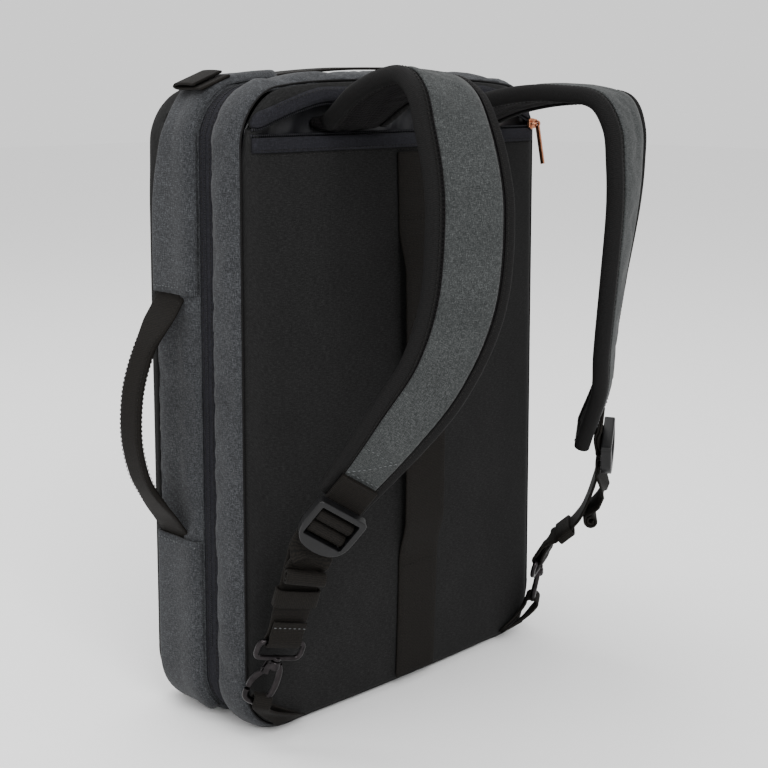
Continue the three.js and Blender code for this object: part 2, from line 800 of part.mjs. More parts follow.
function lockPlate() {
  const half = lockWidth / 2;
  const [top, bottom] = [lockHeight / 2, -lockHeight / 2];
  const shoulder = bottom + 0.48 * lockHeight;
  const outline = new THREE.Shape();
  outline.moveTo(-half, top);
  outline.lineTo(-half, shoulder);
  outline.quadraticCurveTo(-half, bottom, 0, bottom);
  outline.quadraticCurveTo(half, bottom, half, shoulder);
  outline.lineTo(half, top);
  const reach = half - lockRim;
  const slot = (low, high) => {
    const hole = new THREE.Path();
    hole.moveTo(-reach, low);
    hole.lineTo(reach, low);
    hole.lineTo(reach, high);
    hole.lineTo(-reach, high);
    hole.closePath();
    return hole;
  };
  const spare = lockTurn + webbingWall / 2 + gap;
  outline.holes.push(
    slot(anchorBar + lockBar / 2, anchorBar + spare),
    slot(tailBar + lockBar / 2, anchorBar - lockBar / 2),
    slot(tailBar - spare, tailBar - lockBar / 2),
  );
  const lip = outline.clone();
  lip.holes = [slot(tailBar - spare, top - lockRim)];
  const settings = { bevelEnabled: false, curveSegments: 6 };
  const plate = new THREE.ExtrudeGeometry(outline, { depth: lockWall, ...settings });
  plate.translate(0, 0, -lockWall / 2);
  const sunk = 0.1;
  const raised = new THREE.ExtrudeGeometry(lip, { depth: lockLip + sunk, ...settings });
  raised.translate(0, 0, lockWall / 2 - sunk);
  return joined(plate, raised);
}

function lockFrame(stations, { drop, out, tilt }) {
  const last = stations.length - 1;
  const { tangent, across, normal } = stationAxes(stations, last);
  const origin = stations[last].point.clone().addScaledVector(tangent, drop);
  origin.addScaledVector(normal, out);
  const up = tangent.clone().multiplyScalar(-Math.cos(radians(tilt)));
  up.addScaledVector(normal, -Math.sin(radians(tilt)));
  return frameFrom(origin, up, across);
}

function webbingThrough(points, across, width = lowerWebbing) {
  return strip(points.map((point) => ({ point, across, width })), webbingWall);
}

function buildAnchor(hand, stations, lock) {
  const last = stations.length - 1;
  const { tangent, across, normal } = stationAxes(stations, last);
  const over = padWall / 2 + bindingWall + 3 * gap + webbingWall / 2;
  const above = (distance, layer) =>
    stations[last].point
      .clone()
      .addScaledVector(tangent, -distance)
      .addScaledVector(normal, over + layer * (webbingWall + gap));
  const points = [
    above(anchorLength, 1),
    above(anchorLength / 2, 1),
    ...lockTurnPoints(lock, anchorBar, 1),
    above(anchorLength / 2, 0),
    above(anchorLength, 0),
  ];
  add(`anchor_webbing_${hand}`, webbingThrough(points, across), "webbing");
}

// Snap hooks. Each hangs in its own frame: up runs to the webbing, across runs from the gate to the spine.

const collarTop = -eyeWire - gap;
const collarFoot = collarTop - collarHeight;
const pinPlace = [-collarRadius - 0.9, collarFoot - 2.7];

const disc = (radius, depth, sides = 16) => {
  const cylinder = new THREE.CylinderGeometry(radius, radius, depth, sides);
  return cylinder.rotateX(Math.PI / 2);
};

function loopPoints(width, height, round, steps = 4) {
  const points = [];
  for (const [sx, sy, start] of [[1, 1, 0], [-1, 1, 90], [-1, -1, 180], [1, -1, 270]]) {
    for (let i = 0; i <= steps; i += 1) {
      const angle = radians(start + (90 * i) / steps);
      const centre = [sx * (width / 2 - round), sy * (height / 2 - round)];
      points.push(vector(centre[0] + round * Math.cos(angle), centre[1] + round * Math.sin(angle), 0));
    }
  }
  return points;
}

function buildEye(hand, group) {
  const loop = wire(loopPoints(eyeWidth, eyeHeight, eyeRound), () => eyeWire, vector(0, 0, 1), true);
  loop.translate(0, eyeHeight / 2, 0);
  const headTop = collarFoot - gap;
  const postProfile = [
    [0, 0],
    [postRadius, 0],
    [postRadius, headTop],
    [collarBore + 0.5, headTop],
    [collarBore + 0.5, headTop - 1.2],
    [0, headTop - 1.2],
  ];
  const post = new THREE.LatheGeometry(postProfile.map(([x, y]) => new THREE.Vector2(x, y)), 12);
  add(`swivel_eye_${hand}`, joined(loop, post), "gunmetal", 0.35, 0.9, group);
}

// Columns: across is a share of half the hook's width, down a share of its length below the collar.
const hookRows = [
  { across: 0.32, down: -0.1, wire: 1 },
  { across: 0.52, down: 0.06, wire: 1 },
  { across: 0.6, down: 0.26, wire: 1 },
  { across: 0.6, down: 0.55, wire: 1 },
  { across: 0.42, down: 0.82, wire: 1.05 },
  { across: -0.06, down: 1, wire: 1.1 },
  { across: -0.74, down: 1.02, wire: 1.1 },
  { across: -1.2, down: 0.9, wire: 1.05 },
  { across: -1.24, down: 0.71, wire: 0.95 },
];
const hookAt = ({ across, down }) => vector((across * hookWidth) / 2, collarFoot - down * hookLength, 0);

function buildHookBody(hand, group) {
  const collarProfile = [
    [collarBore, collarFoot],
    [collarRadius, collarFoot],
    [collarRadius, collarTop],
    [collarBore, collarTop],
    [collarBore, collarFoot],
  ];
  const collar = new THREE.LatheGeometry(collarProfile.map(([x, y]) => new THREE.Vector2(x, y)), 16);
  const rowAt = (share) => hookRows[Math.round(share * (hookRows.length - 1))];
  const spine = wire(hookRows.map(hookAt), (share) => hookWire * rowAt(share).wire, vector(0, 0, 1));
  const cheekWall = 1;
  const cheekInside = gateWall / 2 + gap;
  const cheeks = [-1, 1].map((sign) => {
    const [x, y] = pinPlace;
    const [left, right, foot, head] = [x - 1.6, -collarBore - 0.7, y - 1.6, collarTop - 1];
    const plate = new THREE.BoxGeometry(right - left, head - foot, cheekWall);
    plate.translate((right + left) / 2, (head + foot) / 2, sign * (cheekInside + cheekWall / 2));
    return plate;
  });
  const pin = disc(pinRadius, 2 * cheekInside + 1.2 * cheekWall, 12);
  pin.translate(...pinPlace, 0);
  add(`hook_body_${hand}`, joined(collar, spine, ...cheeks, pin), "gunmetal", 0.35, 0.9, group);
}

function buildHookGate(hand, group) {
  const [pinX, pinY] = pinPlace;
  const nose = hookAt(hookRows.at(-1));
  const tipY = nose.y + noseGap;
  const half = gateWidth / 2;
  const eyeRadius = pinRadius + gap + 1;
  const shape = new THREE.Shape();
  shape.absarc(pinX, pinY, eyeRadius, radians(-20), radians(200), false);
  const bendY = (pinY + tipY) / 2;
  shape.quadraticCurveTo(nose.x - half - 0.6, bendY, nose.x - half, tipY);
  shape.lineTo(nose.x + half, tipY);
  shape.quadraticCurveTo(nose.x + half + 0.4, bendY, pinX + eyeRadius * 0.94, pinY - eyeRadius * 0.34);
  const bore = new THREE.Path();
  bore.absarc(pinX, pinY, pinRadius + gap, 0, 2 * Math.PI, true);
  shape.holes.push(bore);
  const gate = new THREE.ExtrudeGeometry(shape, { depth: gateWall, bevelEnabled: false, curveSegments: 8 });
  gate.translate(0, 0, -gateWall / 2);
  add(`hook_gate_${hand}`, gate, "gunmetal", 0.35, 0.9, group);
}

// The chain below each strap. Inset from the bag's side, out from the harness seam and up from the base give
// the hook's lowest bend. The leans tilt the hook's up direction and the turns face the hook and its eye.
// Sag bows the webbing, and the shares run along it from the lock to the eye.
const chains = {
  left: {
    side: -1,
    hook: { inset: 0.5, out: 9, up: 31, leanAcross: 0.12, leanOut: 0.38 },
    turn: 35,
    eyeTurn: 20,
    lock: { drop: 16, out: 12.5, tilt: 0 },
    webbing: { sag: 0, spread: 0.3, rollShare: 0.34, keeperShare: 0.68 },
    foot: { inset: 19, up: 15.5, slope: 1 },
  },
  right: {
    side: 1,
    hook: { inset: 14, out: 12, up: 29, leanAcross: 0.22, leanOut: 0.38 },
    turn: 35,
    eyeTurn: 21,
    lock: { drop: 10, out: 18, tilt: 15 },
    webbing: { sag: 9, spread: 1, rollShare: 0.48, keeperShare: 0.77 },
    foot: { inset: 25, up: 13, slope: 0.42 },
  },
};

function hookFrame({ side, hook }, turn) {
  const { inset, out, up, leanAcross, leanOut } = hook;
  const lean = vector(-side * leanAcross, -leanOut, 1).normalize();
  const across = vector(-side * Math.cos(radians(turn)), -Math.sin(radians(turn)), 0);
  const bend = vector(side * (bodyWidth / 2 - inset), harnessSeamY - out, up);
  const origin = bend.addScaledVector(lean, hookLength - collarFoot);
  const frame = frameFrom(origin, lean, across);
  return { ...frame, face: frame.out.y < 0 ? 1 : -1 };
}

// The webbing's end at the eye: its origin is the eye's bar and its up direction heads for the lock.
function stubFrame(lock, eye) {
  const bar = eye.at(0, eyeHeight, 0);
  const up = lock.at(0, -lockHeight / 2, -farLayer).sub(bar);
  up.addScaledVector(eye.across, -up.dot(eye.across)).normalize();
  return { ...frameFrom(bar, up, eye.across), face: eye.face };
}

// The straight line of the load layer from under the lock to above the eye.
function chainLine(lock, stub) {
  const foot = lock.at(0, -lockHeight / 2 - 2, -farLayer);
  const head = stub.at(0, stubLength, -stub.face * turnRadius(eyeWire) * 0.5);
  const span = head.clone().sub(foot);
  const outward = vector(0, -1, 0).addScaledVector(span, span.y / span.lengthSq()).normalize();
  return { foot, head, outward };
}

const chainAcross = (lock, stub, share) =>
  lock.across.clone().lerp(stub.across.clone().multiplyScalar(stub.face), share).normalize();

// A point along the load layer with its sag, a distance outwards from it.
function chainPoint(chain, lock, stub, share, offset) {
  const { foot, head, outward } = chainLine(lock, stub);
  const bow = vector(chain.side * 0.3, -0.6, -0.8).normalize();
  return foot
    .lerp(head, share)
    .addScaledVector(bow, chain.webbing.sag * Math.sin(share * Math.PI))
    .addScaledVector(outward, offset);
}

// Share of the chain's length that runs straight on each side of the keeper's middle.
const keeperReach = 0.115;

function keeperEnds(chain, lock, stub) {
  const { keeperShare } = chain.webbing;
  return [-keeperReach, keeperReach].map((step) => chainPoint(chain, lock, stub, keeperShare + step, 0));
}

// A rolled tail: turns of webbing that open outwards and end beside the load layer, heading up.
const rollPitch = webbingWall + gap;
const rollSteps = Math.ceil((8 * (rollRadius - webbingWall)) / rollPitch);
const rollEnd = webbingWall * 0.8 + (rollPitch * rollSteps) / 8;

function rollPoints(centre, up, inward) {
  return Array.from({ length: rollSteps + 1 }, (_, i) => {
    const angle = ((i - rollSteps) / 8) * 2 * Math.PI;
    const radius = rollEnd - (rollPitch * (rollSteps - i)) / 8;
    const point = centre.clone().addScaledVector(inward, radius * Math.cos(angle));
    return point.addScaledVector(up, radius * Math.sin(angle));
  });
}

function buildLowerWebbing(hand, chain, lock, stub) {
  const { face } = stub;
  const { rollShare, keeperShare, spread } = chain.webbing;
  const eyeTurn = turnRadius(eyeWire);
  const fold = [
    [stubLength, eyeTurn * 0.55],
    [eyeTurn * 1.6, eyeTurn * 0.7],
    [0.4 * eyeTurn, eyeTurn],
    [-0.65 * eyeTurn, 0.75 * eyeTurn],
    [-eyeTurn, 0],
    [-0.65 * eyeTurn, -0.75 * eyeTurn],
    [0.4 * eyeTurn, -eyeTurn],
    [eyeTurn * 1.6, -eyeTurn * 0.7],
  ].map(([u, o]) => stub.at(0, u, face * o));
  const { foot, head, outward } = chainLine(lock, stub);
  const onLine = (share, offset) => chainPoint(chain, lock, stub, share, offset);
  const layer = webbingWall + gap;
  const up = foot.clone().sub(head).normalize();
  const axis = chainAcross(lock, stub, rollShare).projectOnPlane(up).normalize();
  const inward = axis.clone().cross(up);
  inward.multiplyScalar(-Math.sign(inward.dot(outward)));
  const rollCentre = onLine(rollShare, 0).addScaledVector(inward, -layer - rollEnd - 2 * gap);
  const roll = rollPoints(rollCentre, up, inward);
  roll.push(roll.at(-1).clone().addScaledVector(up, rollEnd * 0.8));
  const turned = [lock.at(0, -lockHeight / 2 - 3, -nearLayer), ...lockTurnPoints(lock, tailBar, -1), foot];
  const kept = keeperEnds(chain, lock, stub);
  const straight = [0, 0.2, 0.8, 1].map((share) => kept[0].clone().lerp(kept[1], share));
  const laid = (points, share, width = lowerWebbing) =>
    points.map((point) => ({ point, across: chainAcross(lock, stub, share), width, skewed: share === 0 }));
  const stations = [
    ...roll.map((point) => ({ point, across: axis, width: lowerWebbing })),
    { ...laid([onLine(rollShare * 0.4, layer + spread * 4 * layer)], rollShare * 0.2)[0], skewed: true },
    ...laid(turned, 0),
    ...[0.18, rollShare].flatMap((share) => laid([onLine(share, 0)], share)),
    ...laid(straight, keeperShare),
    ...laid([head], 1),
    ...laid(fold.toReversed(), 1, lowerWebbing - 2),
  ];
  add(`lower_webbing_${hand}`, strip(stations, webbingWall), "webbing");
}

function buildKeeper(hand, chain, lock, stub) {
  const { keeperShare } = chain.webbing;
  const [above, below] = keeperEnds(chain, lock, stub);
  const middle = above.clone().lerp(below, 0.5);
  const up = above.sub(below).normalize();
  const frame = frameFrom(middle, up, chainAcross(lock, stub, keeperShare));
  const half = lowerWebbing / 2 + 2 * gap;
  const back = -webbingWall / 2 - 2 * gap;
  const front = back + keeperDepth;
  const wall = keeperWall;
  const corners = [[-half, back, -1, -1], [half, back, 1, -1], [half, front, 1, 1], [-half, front, -1, 1]];
  const sections = corners.map(([a, o, sa, so]) => [
    frame.at(a, -keeperHeight / 2, o),
    frame.at(a + sa * wall, -keeperHeight / 2, o + so * wall),
    frame.at(a + sa * wall, keeperHeight / 2, o + so * wall),
    frame.at(a, keeperHeight / 2, o),
  ]);
  add(`keeper_${hand}`, lofted(sections, true), "webbing");
}

// The base loop runs up from the bottom seam, over the hook's lowest bend and back down to the seam.
function buildBaseLoop(hand, chain, hook) {
  const bendAt = hookAt({ across: -0.4, down: 1.01 });
  const r = hookWire * 1.1 + baseLoopRise + webbingWall / 2;
  const turned = (up, out) => hook.at(bendAt.x, bendAt.y + up * r, hook.face * out * r);
  const below = { across: hook.across, width: baseLoopPinch * 1.2, skewed: true };
  const fold = [
    { point: turned(-1.5, -0.8), ...below },
    ...[-100, -60, -20, 20, 60, 100].map((angle) => ({
      point: turned(Math.cos(radians(angle)), Math.sin(radians(angle))),
      across: hook.across,
      width: baseLoopPinch,
    })),
    { point: turned(-1.5, 0.8), ...below },
  ];
  const innerX = bodyWidth / 2 - chain.foot.inset - baseLoopWidth;
  const seamY = harnessY(innerX, chain.foot.up) - 3 * gap - webbingWall / 2;
  const foot = (step, layer, share, rise) => ({
    point: vector(
      chain.side * (bodyWidth / 2 - chain.foot.inset - step),
      seamY - layer * (webbingWall + gap),
      chain.foot.up + rise,
    ),
    across: vector(-chain.side, 0, -chain.foot.slope),
    width: share * baseLoopWidth,
    skewed: true,
  });
  const back = [foot(0, 0, 0.9, 0)];
  const front = [foot(0, 2, 0.8, 0)];
  add(`base_loop_${hand}`, strip([...back, ...fold, ...front], webbingWall), "webbing");
}

// Pocket zip slider and pull

function buildSlider() {
  const z = pocketTop + teethHeight + lipEndHeight / 2;
  const back = harnessY(sliderPlace, pocketTop + teethHeight) - pocketTapeWall - 2 * gap;
  const outline = new THREE.Shape();
  const [halfLong, halfWide] = [sliderLength / 2, sliderWidth / 2];
  outline.moveTo(-halfLong, -halfWide * 0.6);
  outline.lineTo(-halfLong * 0.4, -halfWide);
  outline.lineTo(halfLong, -halfWide * 0.75);
  outline.lineTo(halfLong, halfWide * 0.75);
  outline.lineTo(-halfLong * 0.4, halfWide);
  outline.lineTo(-halfLong, halfWide * 0.6);
  const plate = new THREE.ExtrudeGeometry(outline, { depth: sliderWall, bevelEnabled: false });
  plate.rotateX(Math.PI / 2);
  const archReach = sliderLength * 0.36;
  const arch = [
    [-archReach, -sliderWall * 0.4],
    [-archReach, -sliderWall - bailHeight * 0.6],
    [-archReach * 0.6, -sliderWall - bailHeight],
    [archReach * 0.6, -sliderWall - bailHeight],
    [archReach, -sliderWall - bailHeight * 0.6],
    [archReach, -sliderWall * 0.4],
  ].map(([x, y]) => vector(x, y, 0));
  const bail = wire(arch, () => bailWire, vector(0, 0, 1));
  const group = new THREE.Group();
  group.position.set(sliderPlace, back, z);
  part.add(group);
  add("zip_slider", joined(plate, bail), "copper", 0.3, 0.9, group);
  const eyeInner = bailWire + gap * 1.5;
  const shape = new THREE.Shape();
  shape.absarc(0, 0, pullEye, radians(-50), radians(230), false);
  shape.lineTo(-pullWidth / 2, -pullLength);
  shape.lineTo(pullWidth / 2, -pullLength);
  const bore = new THREE.Path();
  bore.absarc(0, 0, eyeInner, 0, 2 * Math.PI, true);
  shape.holes.push(bore);
  const pull = new THREE.ExtrudeGeometry(shape, { depth: pullWall, bevelEnabled: false, curveSegments: 8 });
  pull.translate(0, 0, -pullWall / 2);
  const hanging = new THREE.Group();
  const [tiltOut, tiltDown] = [Math.sin(radians(pullTilt)), Math.cos(radians(pullTilt))];
  const axes = new THREE.Matrix4().makeBasis(
    vector(0, tiltDown, -tiltOut),
    vector(0, tiltOut, tiltDown),
    vector(1, 0, 0),
  );
  hanging.applyMatrix4(axes.setPosition(0, -sliderWall - bailHeight, 0));
  group.add(hanging);
  add("zip_pull", pull, "copper", 0.3, 0.9, hanging);
}

// Assembly

buildFrontPanel();
buildFrontGusset();
buildMainZip();
buildRearGusset();
buildPiping();
buildBackBoard();
buildPocket();
buildTrolleyStrap();
buildSideHandle();
buildTopHandle();
buildOverlays();
Object.entries(tabs).forEach(([hand, tab]) => buildTab(hand, tab));
for (const [hand, chain] of Object.entries(chains)) {
  const stations = strapStations(hand, chain.side);
  const lock = lockFrame(stations, chain.lock);
  const hook = hookFrame(chain, chain.turn);
  const eye = hookFrame(chain, chain.eyeTurn);
  const stub = stubFrame(lock, eye);
  buildPad(hand, stations);
  buildBinding(hand, stations);
  add(`ladder_lock_${hand}`, lockPlate(), "plastic", 0.35, 0, groupAt(lock));
  buildAnchor(hand, stations, lock);
  const group = groupAt(hook);
  buildEye(hand, groupAt(eye));
  buildHookBody(hand, group);
  buildHookGate(hand, group);
  buildLowerWebbing(hand, chain, lock, stub);
  buildKeeper(hand, chain, lock, stub);
  buildBaseLoop(hand, chain, hook);
}
buildSlider();

export default part;
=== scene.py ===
"""Looks of a convertible backpack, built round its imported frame.

Sizes in the classes are millimetres in the frame's own axes: +Z up, the harness side towards -Y and the front
panel towards +Y, left and right as seen from the harness side. A mesh is turned to metres when it is made.
"""

from __future__ import annotations

import logging
import math
from dataclasses import dataclass, field, replace
from enum import Enum
from typing import Callable, Sequence

import bmesh
import bpy
import numpy as np
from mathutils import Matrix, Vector


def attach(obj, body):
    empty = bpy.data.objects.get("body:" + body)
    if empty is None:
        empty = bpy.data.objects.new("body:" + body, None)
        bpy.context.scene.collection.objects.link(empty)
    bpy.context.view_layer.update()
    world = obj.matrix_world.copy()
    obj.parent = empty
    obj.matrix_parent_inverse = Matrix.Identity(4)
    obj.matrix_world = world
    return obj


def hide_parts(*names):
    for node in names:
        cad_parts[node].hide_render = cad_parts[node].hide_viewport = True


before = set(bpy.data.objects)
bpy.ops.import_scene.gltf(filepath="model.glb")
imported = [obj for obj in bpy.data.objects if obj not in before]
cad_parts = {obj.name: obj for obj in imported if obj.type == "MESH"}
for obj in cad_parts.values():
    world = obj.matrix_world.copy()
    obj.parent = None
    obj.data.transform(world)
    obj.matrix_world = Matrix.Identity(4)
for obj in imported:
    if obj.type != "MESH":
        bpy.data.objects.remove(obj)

log = logging.getLogger("backpack")
Array = np.ndarray
MM = 0.001
BODY = "bag"
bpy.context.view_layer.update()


def linear(colour: str, alpha: float = 1.0) -> tuple[float, float, float, float]:
    """Turns an sRGB hex colour to linear light.

    Args:
        colour: The colour as "#rrggbb".
        alpha: The fourth value of the result.

    Returns:
        Red, green and blue in linear light, and alpha.
    """
    shares = [int(colour[i : i + 2], 16) / 255 for i in (1, 3, 5)]
    flat = [s / 12.92 if s <= 0.04045 else ((s + 0.055) / 1.055) ** 2.4 for s in shares]
    return flat[0], flat[1], flat[2], alpha


def add_node(
    tree: bpy.types.NodeTree, kind: str, inputs: dict | None = None, **settings: object
) -> bpy.types.Node:
    """Adds a node with its settings, values and links.

    Args:
        tree: The node tree that gets the node.
        kind: The node's type name.
        inputs: Values or output sockets by input name or index.
        settings: Properties of the node itself.

    Returns:
        The new node.
    """
    node = tree.nodes.new(kind)
    for name, value in settings.items():
        setattr(node, name, value)
    for name, value in (inputs or {}).items():
        if isinstance(value, bpy.types.NodeSocket):
            tree.links.new(value, node.inputs[name])
        else:
            node.inputs[name].default_value = value
    return node


# Finishes


@dataclass(frozen=True)
class Finish:
    """What every finish shares: a name for the real material and process, and the build of its shader."""

    name: str

    def build(self) -> bpy.types.Material:
        """Makes the material, or returns it if it is there already.

        Returns:
            The material.
        """
        known = bpy.data.materials.get(self.name)
        if known:
            return known
        material = bpy.data.materials.new(self.name)
        material.use_nodes = True
        tree = material.node_tree
        self.paint(tree, tree.nodes["Principled BSDF"])
        return material

    def paint(self, tree: bpy.types.NodeTree, shader: bpy.types.Node) -> None:
        """Sets the shader and its patterns. Each finish has its own."""
        raise NotImplementedError

    @staticmethod
    def cloth_place(tree: bpy.types.NodeTree, across_mm: float, along_mm: float) -> bpy.types.NodeSocket:
        """The piece's UV place, which is in metres, counted in units of two real lengths.

        Args:
            tree: The material's tree.
            across_mm: The length of one unit along the UV's first axis.
            along_mm: The length of one unit along the UV's second axis.

        Returns:
            The scaled vector's socket.
        """
        place = add_node(tree, "ShaderNodeTexCoord").outputs["UV"]
        scale = (1 / (across_mm * MM), 1 / (along_mm * MM), 1.0)
        return add_node(tree, "ShaderNodeVectorMath", {0: place, 1: scale}, operation="MULTIPLY").outputs[0]


@dataclass(frozen=True)
class WovenCloth(Finish):
    """Plain-woven polyester: slubs of three tones, matt, with a soft sheen at grazing angles."""

    dark: str
    middle: str
    light: str
    thread_mm: float = 0.7
    slub_mm: float = 3.2
    weft: float = 0.5
    contrast: float = 0.8
    bump: float = 0.35
    sheen: float = 0.06
    gloss: float = 0.12
    roughness: float = 0.92

    def paint(self, tree: bpy.types.NodeTree, shader: bpy.types.Node) -> None:
        """Threads of 0.4 mm are drawn twice as coarse, so that the melange shows at the picture's scale."""
        warp_place = self.cloth_place(tree, self.thread_mm, self.slub_mm)
        weft_place = self.cloth_place(tree, self.slub_mm, self.thread_mm)
        cell_place = self.cloth_place(tree, self.thread_mm, self.thread_mm)
        mottle_place = self.cloth_place(tree, 22, 30)
        noise = {"Scale": 1.0, "Detail": 2.0, "Roughness": 0.6}
        warp = add_node(tree, "ShaderNodeTexNoise", {"Vector": warp_place, **noise}, noise_dimensions="2D")
        weft = add_node(tree, "ShaderNodeTexNoise", {"Vector": weft_place, **noise}, noise_dimensions="2D")
        cell = add_node(tree, "ShaderNodeTexNoise", {"Vector": cell_place, **noise}, noise_dimensions="2D")
        mottle = add_node(
            tree, "ShaderNodeTexNoise", {"Vector": mottle_place, **noise}, noise_dimensions="2D"
        )
        threads = add_node(
            tree,
            "ShaderNodeMix",
            {"Factor": self.weft, "A": warp.outputs[0], "B": weft.outputs[0]},
            data_type="FLOAT",
        )
        fleck = add_node(
            tree,
            "ShaderNodeMix",
            {"Factor": 0.4, "A": threads.outputs[0], "B": cell.outputs[0]},
            data_type="FLOAT",
        )
        toned = add_node(
            tree,
            "ShaderNodeMix",
            {"Factor": 0.07, "A": fleck.outputs[0], "B": mottle.outputs[0]},
            data_type="FLOAT",
        )
        spread = 0.11 / self.contrast
        ramp = add_node(tree, "ShaderNodeValToRGB", {"Fac": toned.outputs[0]})
        low, high = ramp.color_ramp.elements
        low.position, low.color = 0.5 - spread, linear(self.dark)
        high.position, high.color = 0.5 + spread, linear(self.light)
        ramp.color_ramp.elements.new(0.5).color = linear(self.middle)
        tree.links.new(ramp.outputs["Color"], shader.inputs["Base Color"])
        relief = add_node(
            tree,
            "ShaderNodeBump",
            {"Strength": self.bump, "Distance": 0.4 * MM, "Height": fleck.outputs[0]},
        )
        tree.links.new(relief.outputs[0], shader.inputs["Normal"])
        shader.inputs["Roughness"].default_value = self.roughness
        shader.inputs["Specular IOR Level"].default_value = self.gloss
        shader.inputs["Sheen Weight"].default_value = self.sheen
        shader.inputs["Sheen Roughness"].default_value = 0.5


@dataclass(frozen=True)
class TwillWebbing(Finish):
    """Herringbone-woven polyester tape: slanted ribs that turn at each band, with a dull gloss."""

    dark: str
    light: str
    rib_mm: float = 1.1
    band_mm: float = 2.0
    slant: float = 0.35
    bump: float = 0.4
    roughness: float = 0.75

    def paint(self, tree: bpy.types.NodeTree, shader: bpy.types.Node) -> None:
        """Ribs of about 0.8 mm are drawn coarser, so that they show as lines and not as noise."""
        along, across = self.zigzag(tree)
        slanted = add_node(tree, "ShaderNodeMath", {0: across, 1: self.slant}, operation="MULTIPLY")
        phase = add_node(tree, "ShaderNodeMath", {0: along, 1: slanted.outputs[0]}, operation="ADD")
        turns = add_node(tree, "ShaderNodeMath", {0: phase.outputs[0], 1: math.tau}, operation="MULTIPLY")
        wave = add_node(tree, "ShaderNodeMath", {0: turns.outputs[0]}, operation="SINE")
        place = self.cloth_place(tree, 1.2, 1.2)
        fuzz = add_node(
            tree,
            "ShaderNodeTexNoise",
            {"Vector": place, "Scale": 1.0, "Detail": 3.0},
            noise_dimensions="2D",
        )
        height = add_node(
            tree,
            "ShaderNodeMath",
            {0: wave.outputs[0], 1: 0.25, 2: fuzz.outputs[0]},
            operation="MULTIPLY_ADD",
        )
        ramp = add_node(tree, "ShaderNodeValToRGB", {"Fac": height.outputs[0]})
        low, high = ramp.color_ramp.elements
        low.position, low.color = 0.25, linear(self.dark)
        high.position, high.color = 0.78, linear(self.light)
        tree.links.new(ramp.outputs["Color"], shader.inputs["Base Color"])
        relief = add_node(
            tree,
            "ShaderNodeBump",
            {"Strength": self.bump, "Distance": 0.5 * MM, "Height": height.outputs[0]},
        )
        tree.links.new(relief.outputs[0], shader.inputs["Normal"])
        shader.inputs["Roughness"].default_value = self.roughness
        shader.inputs["Specular IOR Level"].default_value = 0.12

    def zigzag(self, tree: bpy.types.NodeTree) -> tuple[bpy.types.NodeSocket, bpy.types.NodeSocket]:
        """Place along the tape in ribs, and a zigzag across it.

        Args:
            tree: The material's tree.

        Returns:
            The two sockets.
        """
        place = self.cloth_place(tree, self.rib_mm, self.band_mm)
        parts = add_node(tree, "ShaderNodeSeparateXYZ", {0: place})
        fold = add_node(tree, "ShaderNodeMath", {0: parts.outputs[1], 1: 1.0}, operation="PINGPONG")
        return parts.outputs[0], fold.outputs[0]


@dataclass(frozen=True)
class SpacerMesh(Finish):
    """Knitted spacer mesh: rows of small round holes, their painted shade as dark dots in a matt, slightly
    lighter net.
    """

    # Tone of the holes: painted shade inside them, not a colour of the yarn
    hole_shade: str
    net: str
    hole_mm: float = 2.4

    def paint(self, tree: bpy.types.NodeTree, shader: bpy.types.Node) -> None:
        """Holes in staggered rows, sunk by the bump, with painted shade as their dark tone."""
        place = self.cloth_place(tree, self.hole_mm, self.hole_mm)
        cells = add_node(
            tree,
            "ShaderNodeTexVoronoi",
            {"Vector": place, "Scale": 1.0, "Randomness": 0.25},
            voronoi_dimensions="2D",
        )
        ramp = add_node(tree, "ShaderNodeValToRGB", {"Fac": cells.outputs["Distance"]})
        low, high = ramp.color_ramp.elements
        # The holes' dark tone is painted shade inside them
        low.position, low.color = 0.2, linear(self.hole_shade)
        high.position, high.color = 0.5, linear(self.net)
        tree.links.new(ramp.outputs["Color"], shader.inputs["Base Color"])
        relief = add_node(
            tree,
            "ShaderNodeBump",
            {"Strength": 0.8, "Distance": 0.8 * MM, "Height": cells.outputs["Distance"]},
        )
        tree.links.new(relief.outputs[0], shader.inputs["Normal"])
        shader.inputs["Roughness"].default_value = 0.85
        shader.inputs["Specular IOR Level"].default_value = 0.1


@dataclass(frozen=True)
class Moulded(Finish):
    """Moulded plastic or die-cast metal: one clouded tone, and a fine skin that breaks up the gloss."""

    dark: str
    light: str
    metallic: float = 0.0
    roughness: float = 0.4
    grain_mm: float = 0.6
    bump: float = 0.08
    gloss: float = 0.5

    def paint(self, tree: bpy.types.NodeTree, shader: bpy.types.Node) -> None:
        """Object coordinates carry the clouding, whose scale is a few millimetres."""
        place = add_node(tree, "ShaderNodeTexCoord").outputs["Object"]
        cloud = add_node(
            tree,
            "ShaderNodeTexNoise",
            {"Vector": place, "Scale": 1 / (5 * MM), "Detail": 4.0},
        )
        grain = add_node(
            tree,
            "ShaderNodeTexNoise",
            {"Vector": place, "Scale": 1 / (self.grain_mm * MM), "Detail": 2.0},
        )
        ramp = add_node(tree, "ShaderNodeValToRGB", {"Fac": cloud.outputs[0]})
        low, high = ramp.color_ramp.elements
        low.position, low.color = 0.35, linear(self.dark)
        high.position, high.color = 0.65, linear(self.light)
        tree.links.new(ramp.outputs["Color"], shader.inputs["Base Color"])
        rough = add_node(
            tree,
            "ShaderNodeMapRange",
            {0: cloud.outputs[0], 3: self.roughness - 0.06, 4: self.roughness + 0.06},
        )
        tree.links.new(rough.outputs[0], shader.inputs["Roughness"])
        relief = add_node(
            tree,
            "ShaderNodeBump",
            {"Strength": self.bump, "Distance": 0.1 * MM, "Height": grain.outputs[0]},
        )
        tree.links.new(relief.outputs[0], shader.inputs["Normal"])
        shader.inputs["Metallic"].default_value = self.metallic
        shader.inputs["Specular IOR Level"].default_value = self.gloss


